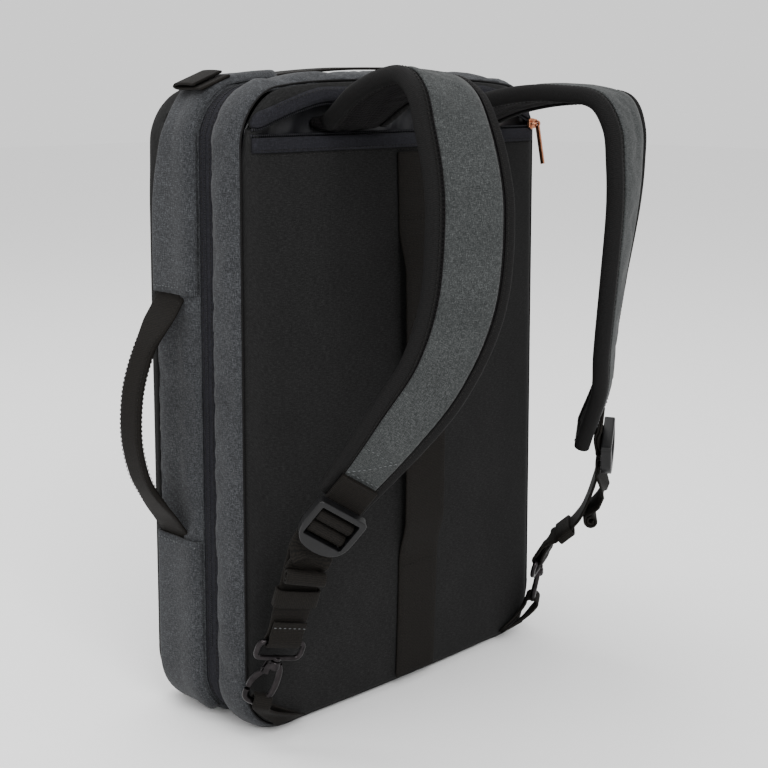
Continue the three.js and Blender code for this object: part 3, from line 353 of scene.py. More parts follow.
@dataclass(frozen=True)
class PlainPaper(Finish):
    """A matt painted studio floor, nearly white."""

    colour: str

    def paint(self, tree: bpy.types.NodeTree, shader: bpy.types.Node) -> None:
        """One matt tone."""
        shader.inputs["Base Color"].default_value = linear(self.colour)
        shader.inputs["Roughness"].default_value = 0.95
        shader.inputs["Specular IOR Level"].default_value = 0.1


class Finishes(Enum):
    """The finishes of the bag's pieces."""

    # Melange polyester: grey with light and dark slubs
    HEATHER = WovenCloth("woven_melange_polyester", "#1b1c1e", "#2c2d2f", "#47494c")
    # The same cloth on the straps, a little greener and darker
    STRAP_HEATHER = WovenCloth("woven_melange_polyester_strap", "#1e2020", "#2f3131", "#484a4a")
    # Dark cloth of the harness face and front panel, its weft showing as fine level lines
    PANEL = WovenCloth(
        "woven_charcoal_polyester", "#111111", "#191919", "#232323",
        weft=0.72, contrast=0.8, sheen=0.0, bump=0.25,
    )
    # Zip tape: a tighter, bluer knit
    TAPE = WovenCloth(
        "knitted_zip_tape", "#131316", "#1b1b1f", "#26262b", thread_mm=0.7, contrast=0.8, sheen=0.0
    )
    # Shiny lining behind the pocket mouth
    LINING = WovenCloth(
        "woven_nylon_lining", "#0f0f11", "#17171a", "#232327",
        contrast=0.6, roughness=0.4, gloss=0.5, bump=0.1, sheen=0.0,
    )
    WEBBING = TwillWebbing("woven_webbing", "#080706", "#171411")
    BINDING = TwillWebbing("twill_binding_tape", "#080808", "#141313", rib_mm=1.2, band_mm=4.0, slant=1.2)
    # Spacer mesh: the first colour is painted shade in its holes, the second the net's own tone
    MESH = SpacerMesh("knitted_spacer_mesh", "#050505", "#151314")
    COIL = Moulded("moulded_nylon_coil", "#0e0e11", "#18181c", roughness=0.5, gloss=0.2)
    PLASTIC = Moulded("moulded_acetal", "#0a0a0b", "#0f0f10", roughness=0.34, gloss=0.25)
    GUNMETAL = Moulded("die_cast_zinc_gunmetal", "#242223", "#302d2e", metallic=1.0, roughness=0.3)
    COPPER = Moulded("plated_copper_pull", "#a36a4e", "#bd8466", metallic=1.0, roughness=0.3)
    LIGHT_THREAD = Moulded("spun_polyester_thread_grey", "#4a4c4d", "#5b5d5e", roughness=0.8, gloss=0.2)
    DARK_THREAD = Moulded("spun_polyester_thread_black", "#121110", "#1c1b19", roughness=0.8, gloss=0.2)
    FLOOR = PlainPaper("painted_studio_floor", "#fafafa")

    def material(self) -> bpy.types.Material:
        """The finish as a Blender material."""
        return self.value.build()


# Curves and meshes


def unit(vectors: Array) -> Array:
    """Vectors of length one."""
    lengths = np.linalg.norm(vectors, axis=-1, keepdims=True)
    return vectors / np.maximum(lengths, 1e-9)


def smooth_step(value: float | Array, low: float, high: float) -> float | Array:
    """A smooth rise from 0 at low to 1 at high."""
    share = np.clip((value - low) / (high - low), 0, 1)
    return share * share * (3 - 2 * share)


def spline(rows: Sequence[Sequence[float]], shares: Array) -> Array:
    """A centripetal Catmull-Rom curve through rows of numbers.

    Args:
        rows: The points that the curve passes, all of one length.
        shares: Places on it, 0 at the first point and 1 at the last, with equal steps from point to point.

    Returns:
        One row of numbers for each share.
    """
    knots = np.array(rows, float)
    knots = np.vstack([2 * knots[0] - knots[1], knots, 2 * knots[-1] - knots[-2]])
    place = np.clip(shares, 0, 1) * (len(knots) - 3)
    index = np.minimum(place.astype(int), len(knots) - 4)
    weight = (place - index)[:, None]
    p0, p1, p2, p3 = (knots[index + step] for step in range(4))
    span = [
        np.maximum(np.linalg.norm(b - a, axis=1, keepdims=True), 1e-6) ** 0.5
        for a, b in ((p0, p1), (p1, p2), (p2, p3))
    ]
    d0, d1, d2 = span
    t1 = ((p1 - p0) / d0 - (p2 - p0) / (d0 + d1) + (p2 - p1) / d1) * d1
    t2 = ((p2 - p1) / d1 - (p3 - p1) / (d1 + d2) + (p3 - p2) / d2) * d1
    cubic = 2 * p1 - 2 * p2 + t1 + t2
    square = -3 * p1 + 3 * p2 - 2 * t1 - t2
    return p1 + t1 * weight + square * weight**2 + cubic * weight**3


def run_length(points: Array) -> Array:
    """Distance along a row of points, from its start, for each point."""
    steps = np.linalg.norm(np.diff(points, axis=0), axis=1)
    return np.concatenate([[0.0], np.cumsum(steps)])


def tangents(points: Array) -> Array:
    """Unit directions along a row of points."""
    return unit(np.gradient(points, axis=0))


@dataclass
class Cloth:
    """How a skin swells against its seams in Blender's Cloth.

    Attributes:
        pressure: Air pressure inside the skin.
        slack: Spare cloth as a share of its size.
        reach: The most that a point may move, in millimetres.
        frames: Steps of the simulation.
        bending: Stiffness against bending.
    """

    pressure: float = 1.0
    slack: float = 0.01
    reach: float = 2.5
    frames: int = 14
    bending: float = 0.6

    def settle(self, obj: bpy.types.Object, pins: Array) -> None:
        """Simulates the skin and keeps the result in its mesh.

        Args:
            obj: The skin, an object with a mesh and no modifiers.
            pins: A weight for each vertex, 1 where a seam holds it.
        """
        group = obj.vertex_groups.new(name="seams")
        for index, weight in enumerate(pins):
            if weight > 0:
                group.add([index], float(weight), "REPLACE")
        modifier = obj.modifiers.new("cloth", "CLOTH")
        cloth = modifier.settings
        cloth.quality = 6
        cloth.mass = 0.2
        cloth.tension_stiffness = 20
        cloth.compression_stiffness = 12
        cloth.shear_stiffness = 6
        cloth.bending_stiffness = self.bending
        cloth.use_pressure = True
        cloth.uniform_pressure_force = self.pressure
        cloth.shrink_min = -self.slack
        cloth.shrink_max = -self.slack
        cloth.vertex_group_mass = group.name
        cloth.effector_weights.gravity = 0
        modifier.collision_settings.use_collision = False
        modifier.point_cache.frame_start = 1
        modifier.point_cache.frame_end = self.frames
        rest = mesh_points(obj.data)
        for step in range(1, self.frames + 1):
            bpy.context.scene.frame_set(step)
        graph = bpy.context.evaluated_depsgraph_get()
        moved = mesh_points(obj.evaluated_get(graph).data)
        shift = moved - rest
        length = np.linalg.norm(shift, axis=1, keepdims=True)
        limit = self.reach * MM
        shift *= np.minimum(1, limit / np.maximum(length, 1e-9))
        obj.modifiers.remove(modifier)
        obj.vertex_groups.remove(group)
        bpy.context.scene.frame_set(1)
        obj.data.vertices.foreach_set("co", (rest + shift).astype(np.float32).ravel())
        obj.data.update()


def mesh_points(mesh: bpy.types.Mesh) -> Array:
    """A mesh's vertex places, in metres."""
    flat = np.zeros(len(mesh.vertices) * 3, np.float32)
    mesh.vertices.foreach_get("co", flat)
    return flat.reshape(-1, 3).astype(float)


def object_from(
    name: str, points: Array, faces: Sequence[Sequence[int]], maps: Sequence[Sequence[float]] | None = None
) -> bpy.types.Object:
    """Makes a mesh object from points in millimetres.

    Args:
        name: The object's name.
        points: The vertices.
        faces: Rows of vertex indices.
        maps: A UV place in millimetres for each corner of each face, in order.

    Returns:
        The object, linked to the scene.
    """
    mesh = bpy.data.meshes.new(name)
    mesh.from_pydata((np.asarray(points) * MM).tolist(), [], [list(f) for f in faces])
    if maps is not None:
        layer = mesh.uv_layers.new(name="cloth")
        layer.data.foreach_set("uv", (np.asarray(maps, np.float32) * MM).ravel())
    mesh.shade_smooth()
    obj = bpy.data.objects.new(name, mesh)
    bpy.context.scene.collection.objects.link(obj)
    return obj


def face_out(obj: bpy.types.Object, outward: Array | None = None) -> None:
    """Turns faces outwards: by volume on a closed body, or else by a direction that the skin faces.

    Args:
        obj: The mesh object.
        outward: For an open skin, the direction that it faces at each vertex, or one for all.
    """
    mesh = obj.data
    shape = bmesh.new()
    shape.from_mesh(mesh)
    if outward is None:
        bmesh.ops.recalc_face_normals(shape, faces=shape.faces)
        turned = shape.calc_volume(signed=True) < 0
    else:
        shape.normal_update()
        facing = np.array([v.normal for v in shape.verts])
        turned = float((facing * outward).sum()) < 0
    if turned:
        bmesh.ops.reverse_faces(shape, faces=shape.faces)
    shape.to_mesh(mesh)
    shape.free()
    mesh.update()


def grid(
    name: str,
    rows: Array,
    along: Array | None = None,
    around: Array | None = None,
    ring_rows: bool = False,
    ring_columns: bool = False,
    caps: bool = False,
    outward: Array | None = None,
) -> bpy.types.Object:
    """A mesh from a grid of points, with UV places along its rows and columns.

    Args:
        name: The object's name.
        rows: Points as rows by columns by three, in millimetres.
        along: UV place of each row, one more than the rows if they close. Worked out if None.
        around: UV place of each column, one more than the columns if they close. Worked out if None.
        ring_rows: Whether the last row joins the first.
        ring_columns: Whether the last column joins the first.
        caps: Whether the first and last row are closed by a face.
        outward: The direction that an open skin faces.

    Returns:
        The object.
    """
    count, width = rows.shape[:2]
    if along is None:
        middle = rows.mean(axis=1) if ring_columns else rows[:, width // 2]
        along = run_length(np.vstack([middle, middle[:1]]) if ring_rows else middle)
    if around is None:
        ring = rows[count // 2]
        around = run_length(np.vstack([ring, ring[:1]]) if ring_columns else ring)
    faces, maps = [], []
    for row in range(count if ring_rows else count - 1):
        for column in range(width if ring_columns else width - 1):
            corners = [(row, column), (row, column + 1), (row + 1, column + 1), (row + 1, column)]
            faces.append([(r % count) * width + c % width for r, c in corners])
            maps.extend((along[r], around[c]) for r, c in corners)
    if caps:
        for row in (0, count - 1):
            faces.append([row * width + c for c in range(width)])
            maps.extend((along[row], around[c]) for c in range(width))
    obj = object_from(name, rows.reshape(-1, 3), faces, maps)
    face_out(obj, outward)
    return obj


def thicken(obj: bpy.types.Object, wall: float) -> None:
    """Gives an open skin a wall in millimetres, inwards from the face that shows."""
    modifier = obj.modifiers.new("wall", "SOLIDIFY")
    modifier.thickness = wall * MM
    modifier.offset = -1
    modifier.use_even_offset = False


def dress(
    obj: bpy.types.Object, finish: Finishes, slot: str, *nodes: str, body: str = BODY
) -> bpy.types.Object:
    """Gives a piece its material and body, and hides the CAD nodes that it stands for.

    Args:
        obj: The finished piece.
        finish: Its finish.
        slot: The record's material slot. Not used.
        nodes: The CAD nodes that the piece replaces.
        body: The CAD body that it rides on.

    Returns:
        The piece.
    """
    points = mesh_points(obj.data)
    points[:, 2] = np.maximum(points[:, 2], 0)
    obj.data.vertices.foreach_set("co", points.astype(np.float32).ravel())
    obj.data.update()
    obj.data.materials.clear()
    obj.data.materials.append(finish.material())
    if nodes:
        obj.name = nodes[0] + "_piece"
        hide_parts(*nodes)
    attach(obj, body)
    log.info("%s: %d faces, on %s", obj.name, len(obj.data.polygons), body)
    return obj


@dataclass
class Ribbon:
    """A strip of webbing swept through stations.

    Attributes:
        centre: Places of its middle.
        across: Directions across it.
        width: Its width at each place.
        wall: Its thickness, one number or one for each place.
        skew: Whether its width may lie aslant to its length.
    """

    centre: Array
    across: Array
    width: Array
    wall: float | Array = 1.8
    skew: bool = False

    @classmethod
    def through(
        cls, rows: Sequence[tuple[Array, Array, float]], wall: float, steps: int = 5
    ) -> Ribbon:
        """A ribbon on a smooth curve through a few stations.

        Args:
            rows: Point, across direction and width of each station.
            wall: Its thickness.
            steps: Places from one station to the next.

        Returns:
            The ribbon.
        """
        table = [[*point, *unit(across), width] for point, across, width in rows]
        dense = spline(table, np.linspace(0, 1, steps * (len(rows) - 1) + 1))
        return cls(dense[:, :3], unit(dense[:, 3:6]), dense[:, 6], wall)

    def axes(self) -> tuple[Array, Array, Array]:
        """Tangent, across and normal at each place."""
        forward = tangents(self.centre)
        level = unit(self.across)
        if not self.skew:
            level = unit(level - (level * forward).sum(1, keepdims=True) * forward)
        return forward, level, unit(np.cross(forward, level))

    def at(self, share: Array, height: float | Array) -> Array:
        """Points on the ribbon.

        Args:
            share: From -1 at one edge to 1 at the other, one for each place.
            height: Millimetres off its middle, towards the normal.

        Returns:
            The points.
        """
        _, level, normal = self.axes()
        lift = np.broadcast_to(np.asarray(height, float), (len(self.centre),))
        return self.centre + level * (share * self.width / 2)[:, None] + normal * lift[:, None]

    def build(self, name: str, flat_steps: int = 4, edge_steps: int = 3) -> bpy.types.Object:
        """The webbing as a closed body with rounded edges.

        Args:
            name: The object's name.
            flat_steps: Faces across each flat side.
            edge_steps: Faces round each edge.

        Returns:
            The object.
        """
        _, level, normal = self.axes()
        walls = np.broadcast_to(np.asarray(self.wall, float), (len(self.centre),))
        flats = np.linspace(1, -1, flat_steps + 1)
        turns = np.linspace(90, -90, edge_steps + 1)[1:-1]
        section = [(share, 0.0, 1.0) for share in flats]
        section += [(-1.0, -math.cos(math.radians(t)), math.sin(math.radians(t))) for t in turns]
        section += [(share, 0.0, -1.0) for share in flats[::-1]]
        section += [(1.0, math.cos(math.radians(t)), math.sin(math.radians(t))) for t in turns[::-1]]
        columns = []
        for share, bulge, side in section:
            half = walls / 2
            reach = share * (self.width / 2 - half) + bulge * half
            columns.append(self.centre + level * reach[:, None] + normal * (side * half)[:, None])
        return grid(name, np.stack(columns, axis=1), run_length(self.centre), ring_columns=True, caps=True)


# Rows of small pieces, made by Geometry Nodes


@dataclass
class Row:
    """A row of stitches or teeth along a line.

    Attributes:
        points: The line, in millimetres.
        facing: The direction off the surface, one or one for each point.
    """

    points: Array
    facing: Array


@dataclass
class SmallPieces:
    """Small round-ended pieces in rows, such as stitches or zip teeth, as one mesh.

    Attributes:
        name: The piece's name.
        pitch: Distance from one to the next.
        length: Size along the row.
        width: Size across the row.
        height: Size off the surface.
        wander: The most that one turns out of line, in degrees.
        seed: Seed of those turns.
        rows: The rows.
    """

    name: str
    pitch: float
    length: float
    width: float
    height: float
    wander: float = 0.0
    seed: int = 7
    rows: list[Row] = field(default_factory=list)

    def tree(self) -> bpy.types.NodeTree:
        """The node tree that sets a piece at each step of a line.

        Returns:
            The tree, shared by every kind of small piece.
        """
        known = bpy.data.node_groups.get("row_of_small_pieces")
        if known:
            return known
        tree = bpy.data.node_groups.new("row_of_small_pieces", "GeometryNodeTree")
        sockets = tree.interface
        sockets.new_socket("Line", in_out="INPUT", socket_type="NodeSocketGeometry")
        for name in ("Pitch", "Length", "Width", "Height", "Wander"):
            sockets.new_socket(name, in_out="INPUT", socket_type="NodeSocketFloat")
        sockets.new_socket("Seed", in_out="INPUT", socket_type="NodeSocketInt")
        sockets.new_socket("Finish", in_out="INPUT", socket_type="NodeSocketMaterial")
        sockets.new_socket("Pieces", in_out="OUTPUT", socket_type="NodeSocketGeometry")
        given = add_node(tree, "NodeGroupInput").outputs
        line = add_node(tree, "GeometryNodeMeshToCurve", {0: given["Line"]})
        steps = add_node(
            tree,
            "GeometryNodeResampleCurve",
            {"Curve": line.outputs[0], "Length": given["Pitch"]},
            mode="LENGTH",
        )
        ball = add_node(tree, "GeometryNodeMeshUVSphere", {"Segments": 6, "Rings": 4, "Radius": 0.5})
        size = add_node(
            tree, "ShaderNodeCombineXYZ", {0: given["Length"], 1: given["Width"], 2: given["Height"]}
        )
        shaped = add_node(
            tree, "GeometryNodeTransform", {"Geometry": ball.outputs[0], "Scale": size.outputs[0]}
        )
        rounded = add_node(tree, "GeometryNodeSetShadeSmooth", {0: shaped.outputs[0]})
        heading = add_node(
            tree,
            "FunctionNodeAlignRotationToVector",
            {"Vector": add_node(tree, "GeometryNodeInputTangent").outputs[0]},
        )
        heading.axis = "X"
        facing = add_node(
            tree, "GeometryNodeInputNamedAttribute", {"Name": "facing"}, data_type="FLOAT_VECTOR"
        )
        upright = add_node(
            tree,
            "FunctionNodeAlignRotationToVector",
            {"Rotation": heading.outputs[0], "Vector": facing.outputs[0]},
            axis="Z",
            pivot_axis="X",
        )
        least = add_node(tree, "ShaderNodeMath", {0: given["Wander"], 1: -1.0}, operation="MULTIPLY")
        turn = add_node(
            tree,
            "FunctionNodeRandomValue",
            {2: least.outputs[0], 3: given["Wander"], "Seed": given["Seed"]},
            data_type="FLOAT",
        )
        twist = add_node(tree, "ShaderNodeCombineXYZ", {2: turn.outputs[1]})
        euler = add_node(tree, "FunctionNodeEulerToRotation", {0: twist.outputs[0]})
        turned = add_node(
            tree,
            "FunctionNodeRotateRotation",
            {0: upright.outputs[0], 1: euler.outputs[0]},
            rotation_space="LOCAL",
        )
        placed = add_node(
            tree,
            "GeometryNodeInstanceOnPoints",
            {"Points": steps.outputs[0], "Instance": rounded.outputs[0], "Rotation": turned.outputs[0]},
        )
        real = add_node(tree, "GeometryNodeRealizeInstances", {0: placed.outputs[0]})
        painted = add_node(
            tree, "GeometryNodeSetMaterial", {"Geometry": real.outputs[0], "Material": given["Finish"]}
        )
        add_node(tree, "NodeGroupOutput", {0: painted.outputs[0]})
        return tree

    def build(self, finish: Finishes) -> bpy.types.Object:
        """Makes the pieces of all the rows.

        Args:
            finish: Their finish.

        Returns:
            The object, a plain mesh.
        """
        points, facing, edges = [], [], []
        for row in self.rows:
            start = len(points)
            directions = np.broadcast_to(row.facing, row.points.shape)
            points.extend(row.points * MM)
            facing.extend(directions)
            edges.extend((start + i, start + i + 1) for i in range(len(row.points) - 1))
        mesh = bpy.data.meshes.new(self.name + "_line")
        mesh.from_pydata([list(p) for p in points], edges, [])
        attribute = mesh.attributes.new("facing", "FLOAT_VECTOR", "POINT")
        attribute.data.foreach_set("vector", np.array(facing, np.float32).ravel())
        holder = bpy.data.objects.new(self.name + "_line", mesh)
        bpy.context.scene.collection.objects.link(holder)
        modifier = holder.modifiers.new("rows", "NODES")
        modifier.node_group = self.tree()
        values = {
            "Pitch": self.pitch * MM,
            "Length": self.length * MM,
            "Width": self.width * MM,
            "Height": self.height * MM,
            "Wander": math.radians(self.wander),
            "Seed": self.seed,
            "Finish": finish.material(),
        }
        for item in modifier.node_group.interface.items_tree:
            if item.in_out == "INPUT" and item.name in values:
                modifier[item.identifier] = values[item.name]
        holder.update_tag()
        graph = bpy.context.evaluated_depsgraph_get()
        plain = bpy.data.meshes.new_from_object(holder.evaluated_get(graph), depsgraph=graph)
        plain.name = self.name
        holder.modifiers.remove(modifier)
        bpy.data.objects.remove(holder)
        obj = bpy.data.objects.new(self.name, plain)
        bpy.context.scene.collection.objects.link(obj)
        return obj


# The bag's outline


@dataclass(frozen=True)
class Spot:
    """A place on the way round the bag.

    Attributes:
        side: 1 right, -1 left, 0 on the top or base run.
        end: 1 top, -1 base, 0 on a side run.
        value: The share of a straight run, or the angle in degrees at a corner.
    """

    side: int
    end: int
    value: float


@dataclass(frozen=True)
class Outline:
    """The bag's outline as seen from the harness side."""

    width: float = 281
    height: float = 405
    depth: float = 104
    top_corner: float = 31
    base_corner: float = 36
    dome: float = 11
    taper: float = 0.015
    bulge: float = 9

    @property
    def harness_seam(self) -> float:
        """Y of the seam round the harness face."""
        return -self.depth / 2

    def tapered(self, x: float | Array, z: float | Array) -> float | Array:
        """X with the bag's taper, wider at the base."""
        return x * (1 + self.taper * (0.5 - z / self.height))

    def shaped(self, x: float, z: float) -> tuple[float, float]:
        """A flat outline's point with the taper and the domed top."""
        across = min(abs(x) / (self.width / 2), 1)
        upper = max(2 * z / self.height - 1, 0)
        return self.tapered(x, z), max(z + self.dome * upper * (1 - across**4), 0)

    def at(self, spot: Spot, inset: float) -> tuple[float, float]:
        """X and Z of a spot, moved in from the outline by an inset."""
        half = self.width / 2 - inset
        low, high = inset, self.height - inset
        top, base = max(self.top_corner - inset, 3), max(self.base_corner - inset, 3)
        if spot.side and spot.end:
            turn = math.radians(spot.value)
            corner = top if spot.end > 0 else base
            x = spot.side * (half - corner + corner * math.cos(turn))
            level = high - corner if spot.end > 0 else low + corner
            return self.shaped(x, level + spot.end * corner * math.sin(turn))
        if spot.side:
            return self.shaped(spot.side * half, low + base + spot.value * (high - top - low - base))
        reach = half - (top if spot.end > 0 else base)
        return self.shaped(spot.value * reach, high if spot.end > 0 else low)

    def height_share(self, height: float) -> float:
        """Share of a side run at a height."""
        return (height - self.base_corner) / (self.height - self.base_corner - self.top_corner)

    def round_trip(self, pitch: float = 4.5) -> list[Spot]:
        """Spots once round: up the right side, over the top, down the left side and back along the base.

        Args:
            pitch: Distance from spot to spot.

        Returns:
            The spots, without the first one again at the end.
        """
        side = np.linspace(0, 1, round((self.height - self.top_corner - self.base_corner) / pitch) + 1)
        end = np.linspace(1, -1, round((self.width - 2 * self.top_corner) / pitch) + 1)
        turn = np.linspace(0, 90, round(self.top_corner * math.pi / 2 / pitch * 1.4) + 1)[1:-1]
        right = [Spot(1, 0, v) for v in side]
        top = [Spot(0, 1, v) for v in end]
        left = [Spot(-1, 0, v) for v in side[::-1]]
        base = [Spot(0, -1, v) for v in -end]
        corners = [
            [Spot(1, 1, v) for v in turn],
            [Spot(-1, 1, v) for v in turn[::-1]],
            [Spot(-1, -1, v) for v in turn],
            [Spot(1, -1, v) for v in turn[::-1]],
        ]
        return [*right, *corners[0], *top, *corners[1], *left, *corners[2], *base, *corners[3]]

    def ring(self, spots: Sequence[Spot], inset: float, y: float) -> Array:
        """Points of a row of spots at one inset and depth."""
        flat = [self.at(spot, inset) for spot in spots]
        return np.array([(x, y, z) for x, z in flat])

    def harness(self, x: float | Array, z: float | Array) -> float | Array:
        """Y of the harness face, which bulges in its middle."""
        across = np.minimum(np.abs(x) / (self.width / 2), 1)
        along = z / (self.height / 2) - 1
        return self.harness_seam - self.bulge * (1 - across**2) * (1 - 0.5 * along**2)

    def outward(self, points: Array) -> Array:
        """Direction out of the bag at each point, level with its sides."""
        away = points - np.array([0, 0, self.height / 2])
        away[:, 1] = 0
        return unit(away)


OUTLINE = Outline()


def band(
    name: str,
    spots: Sequence[Spot],
    profile: Array,
    closed: bool = True,
    shift: Callable[[Array], Array] | None = None,
) -> bpy.types.Object:
    """A skin round the bag, from a profile of inset and Y.

    Args:
        name: The object's name.
        spots: The places that it passes.
        profile: Rows of inset and Y, from the front to the harness side.
        closed: Whether it goes all the way round.
        shift: A change to its points.

    Returns:
        The object, an open skin that faces outwards.
    """
    rows = np.stack([OUTLINE.ring(spots, inset, y) for inset, y in profile], axis=1)
    rows = shift(rows) if shift else rows
    return grid(name, rows, ring_rows=closed, outward=OUTLINE.outward(rows.reshape(-1, 3)))


@dataclass
class BagBody:
    """The bag's shell: front panel, two gussets with the zip between them, piping, the pocket's back."""

    rim_depth: float = 16
    edge_round: float = 13
    crown: float = 3
    gusset_width: float = 44
    tape_width: float = 12.5
    tape_recess: float = 1.5
    coil: float = 1.3
    puff: float = 3.2
    edge_inset: float = 1.0
    piping: float = 0.7
    seam_back: float = 4.8
    corner_wrap: float = 13
    corner_reach: float = 34
    wall: float = 3
    pocket_depth: float = 7
    spots: list[Spot] = field(default_factory=OUTLINE.round_trip)

    @property
    def rim_y(self) -> float:
        """Y of the seam behind the front panel."""
        return OUTLINE.depth / 2 - self.rim_depth

    @property
    def tape_front(self) -> float:
        """Y of the zip tape's front edge."""
        return self.rim_y - self.gusset_width

    @property
    def tape_rear(self) -> float:
        """Y of the zip tape's rear edge."""
        return self.tape_front - self.tape_width

    def wrapped(self, rows: Array) -> Array:
        """Moves the rim seam back round the top corners, where the front panel wraps onto the side."""
        x, y, z = np.moveaxis(rows, -1, 0)
        away = np.hypot(np.abs(x) - OUTLINE.width / 2 + 12, z - OUTLINE.height + 14)
        near = np.exp(-((away / self.corner_reach) ** 2))
        face = OUTLINE.depth / 2
        weight = smooth_step(y, self.tape_front + 12, self.rim_y) * (1 - smooth_step(y, self.rim_y, face))
        moved = rows.copy()
        moved[..., 1] -= self.corner_wrap * near * weight
        return moved

    def skin(
        self,
        name: str,
        profile: Sequence[Sequence[float]],
        steps: int,
        cloth: Cloth | None,
        wrap: bool = False,
    ) -> bpy.types.Object:
        """A band of cloth on a smooth profile, swelled between its two seams.

        Args:
            name: The object's name.
            profile: A few rows of inset and Y.
            steps: Faces across the band.
            cloth: How it swells, or None.
            wrap: Whether the front panel's corners press on it.

        Returns:
            The skin.
        """
        dense = spline(profile, np.linspace(0, 1, steps + 1))
        obj = band(name, self.spots, dense, shift=self.wrapped if wrap else None)
        if cloth:
            pins = np.zeros((len(self.spots), steps + 1))
            pins[:, [0, -1]] = 1
            cloth.settle(obj, pins.ravel())
        return obj

    def build(self) -> None:
        """Makes and dresses every piece of the shell."""
        self.front_panel()
        self.front_gusset()
        self.zip()
        self.rear_gusset()
        self.piping_cord()
        self.pocket_back()

    def front_panel(self) -> None:
        """The front panel, its edge turned back to the rim seam."""
        face = OUTLINE.depth / 2
        turn = np.radians(np.linspace(0, 90, 8))
        insets = [1.2, 0.3, 0, *(self.edge_round * (1 - np.cos(turn)))]
        depths = [self.rim_y + 0.4, self.rim_y + 2, self.rim_y + 3.5]
        depths += list(face - self.edge_round * (1 - np.sin(turn)))
        rings = [OUTLINE.ring(self.spots, inset, y) for inset, y in zip(insets, depths)]
        edge = rings[-1]
        reach = (OUTLINE.height - OUTLINE.width) / 2
        spine = np.zeros_like(edge)
        spine[:, 2] = np.clip(edge[:, 2], OUTLINE.height / 2 - reach, OUTLINE.height / 2 + reach)
        for share in np.linspace(0, 0.96, 15)[1:]:
            ring = edge + share * (spine - edge)
            ring[:, 1] = face + self.crown * math.sin(share * math.pi / 2)
            rings.append(ring)
        rows = np.stack(rings, axis=1)
        count, width = rows.shape[:2]
        rows = self.wrapped(rows)
        obj = grid("front_panel", rows, ring_rows=True, outward=np.tile([0, 1.0, 0], (count * width, 1)))
        pins = np.zeros((count, width))
        pins[:, [0, 1]] = 1
        shape = bmesh.new()
        shape.from_mesh(obj.data)
        shape.verts.ensure_lookup_table()
        shape.faces.new([shape.verts[row * width + width - 1] for row in range(count)])
        shape.to_mesh(obj.data)
        shape.free()
        face_out(obj, np.array([0, 1.0, 0]))
        Cloth(pressure=0.4, slack=0.004, reach=1.5).settle(obj, pins.ravel())
        thicken(obj, self.wall)
        dress(obj, Finishes.PANEL, "panel_cloth", "front_panel")

    def front_gusset(self) -> None:
        """The front gusset, rolled under at the zip seam."""
        profile = [
            (1.2, self.rim_y - 0.2),
            (0.1, self.rim_y - 2.5),
            (0, self.rim_y - 12),
            (0.2, self.tape_front + 20),
            (-1.9, self.tape_front + 12),
            (-1.3, self.tape_front + 4.5),
            (1.8, self.tape_front + 0.4),
        ]
        obj = self.skin("front_gusset", profile, 18, Cloth(pressure=0.5, slack=0.012, reach=1.6), wrap=True)
        thicken(obj, self.wall)
        dress(obj, Finishes.HEATHER, "heather_cloth", "front_gusset")

    def zip(self) -> None:
        """The expansion zip: its tape, the coil seen as a ridge, and the rows of stitches."""
        front, rear = self.tape_front - 0.3, self.tape_rear + 0.3
        middle = (front + rear) / 2
        recess = self.tape_recess
        profile = [
            (recess, front),
            (recess, middle + 2.2),
            (recess - 0.2, middle + 1.2),
            (recess - 0.35, middle),
            (recess - 0.2, middle - 1.2),
            (recess, middle - 2.2),
            (recess, rear),
        ]
        tape = self.skin("main_zip_tape", profile, 18, None)
        thicken(tape, 1.6)
        dress(tape, Finishes.TAPE, "zip_tape_cloth", "main_zip_tape")
        spots = [s for s in self.spots if s.end >= 0 and (s.end or s.value > 0.05)]
        line = OUTLINE.ring(spots, recess - 0.5, middle)
        teeth = SmallPieces("main_zip_coil", pitch=1.5, length=1.0, width=1.9, height=0.7)
        teeth.rows.append(Row(line, OUTLINE.outward(line.copy())))
        dress(teeth.build(Finishes.COIL), Finishes.COIL, "zip_coil", "main_zip_coil")
        for place in (front - 2.0, rear + 2.0):
            line = OUTLINE.ring([*self.spots, self.spots[0]], recess - 0.1, place)
            Sewing.dark.rows.append(Row(line, OUTLINE.outward(line.copy())))

    def rear_gusset(self) -> None:
        """The padded rear gusset, full in its middle and drawn in at both seams."""
        end = OUTLINE.harness_seam + self.seam_back
        span = self.tape_rear - end
        profile = [
            (1.4, self.tape_rear - 0.2),
            (-0.6, self.tape_rear - 0.08 * span),
            (-2.2, self.tape_rear - 0.22 * span),
            (-self.puff, self.tape_rear - 0.44 * span),
            (-2.6, self.tape_rear - 0.7 * span),
            (-1.2, self.tape_rear - 0.9 * span),
            (self.edge_inset, end),
        ]
        obj = self.skin("rear_gusset", profile, 16, Cloth(pressure=1.2, slack=0.012, reach=2.2))
        self.pleat(obj)
        thicken(obj, self.wall)
        dress(obj, Finishes.HEATHER, "heather_cloth", "rear_gusset")

    def pleat(self, obj: bpy.types.Object) -> None:
        """Draws the rear edge over the yoke at the top left corner, where the cloth folds.

        Args:
            obj: The rear gusset's skin.
        """
        points = mesh_points(obj.data) / MM
        near = np.exp(-(((points[:, 0] + 96) / 17) ** 2)) * smooth_step(points[:, 2], 372, 396)
        rear = smooth_step(-points[:, 1], 40, 50)
        fold = near * rear
        points[:, 2] -= 4.5 * fold
        points[:, 1] -= 2.0 * fold
        points[:, 0] += 2.0 * fold
        obj.data.vertices.foreach_set("co", (points * MM).astype(np.float32).ravel())
        obj.data.update()

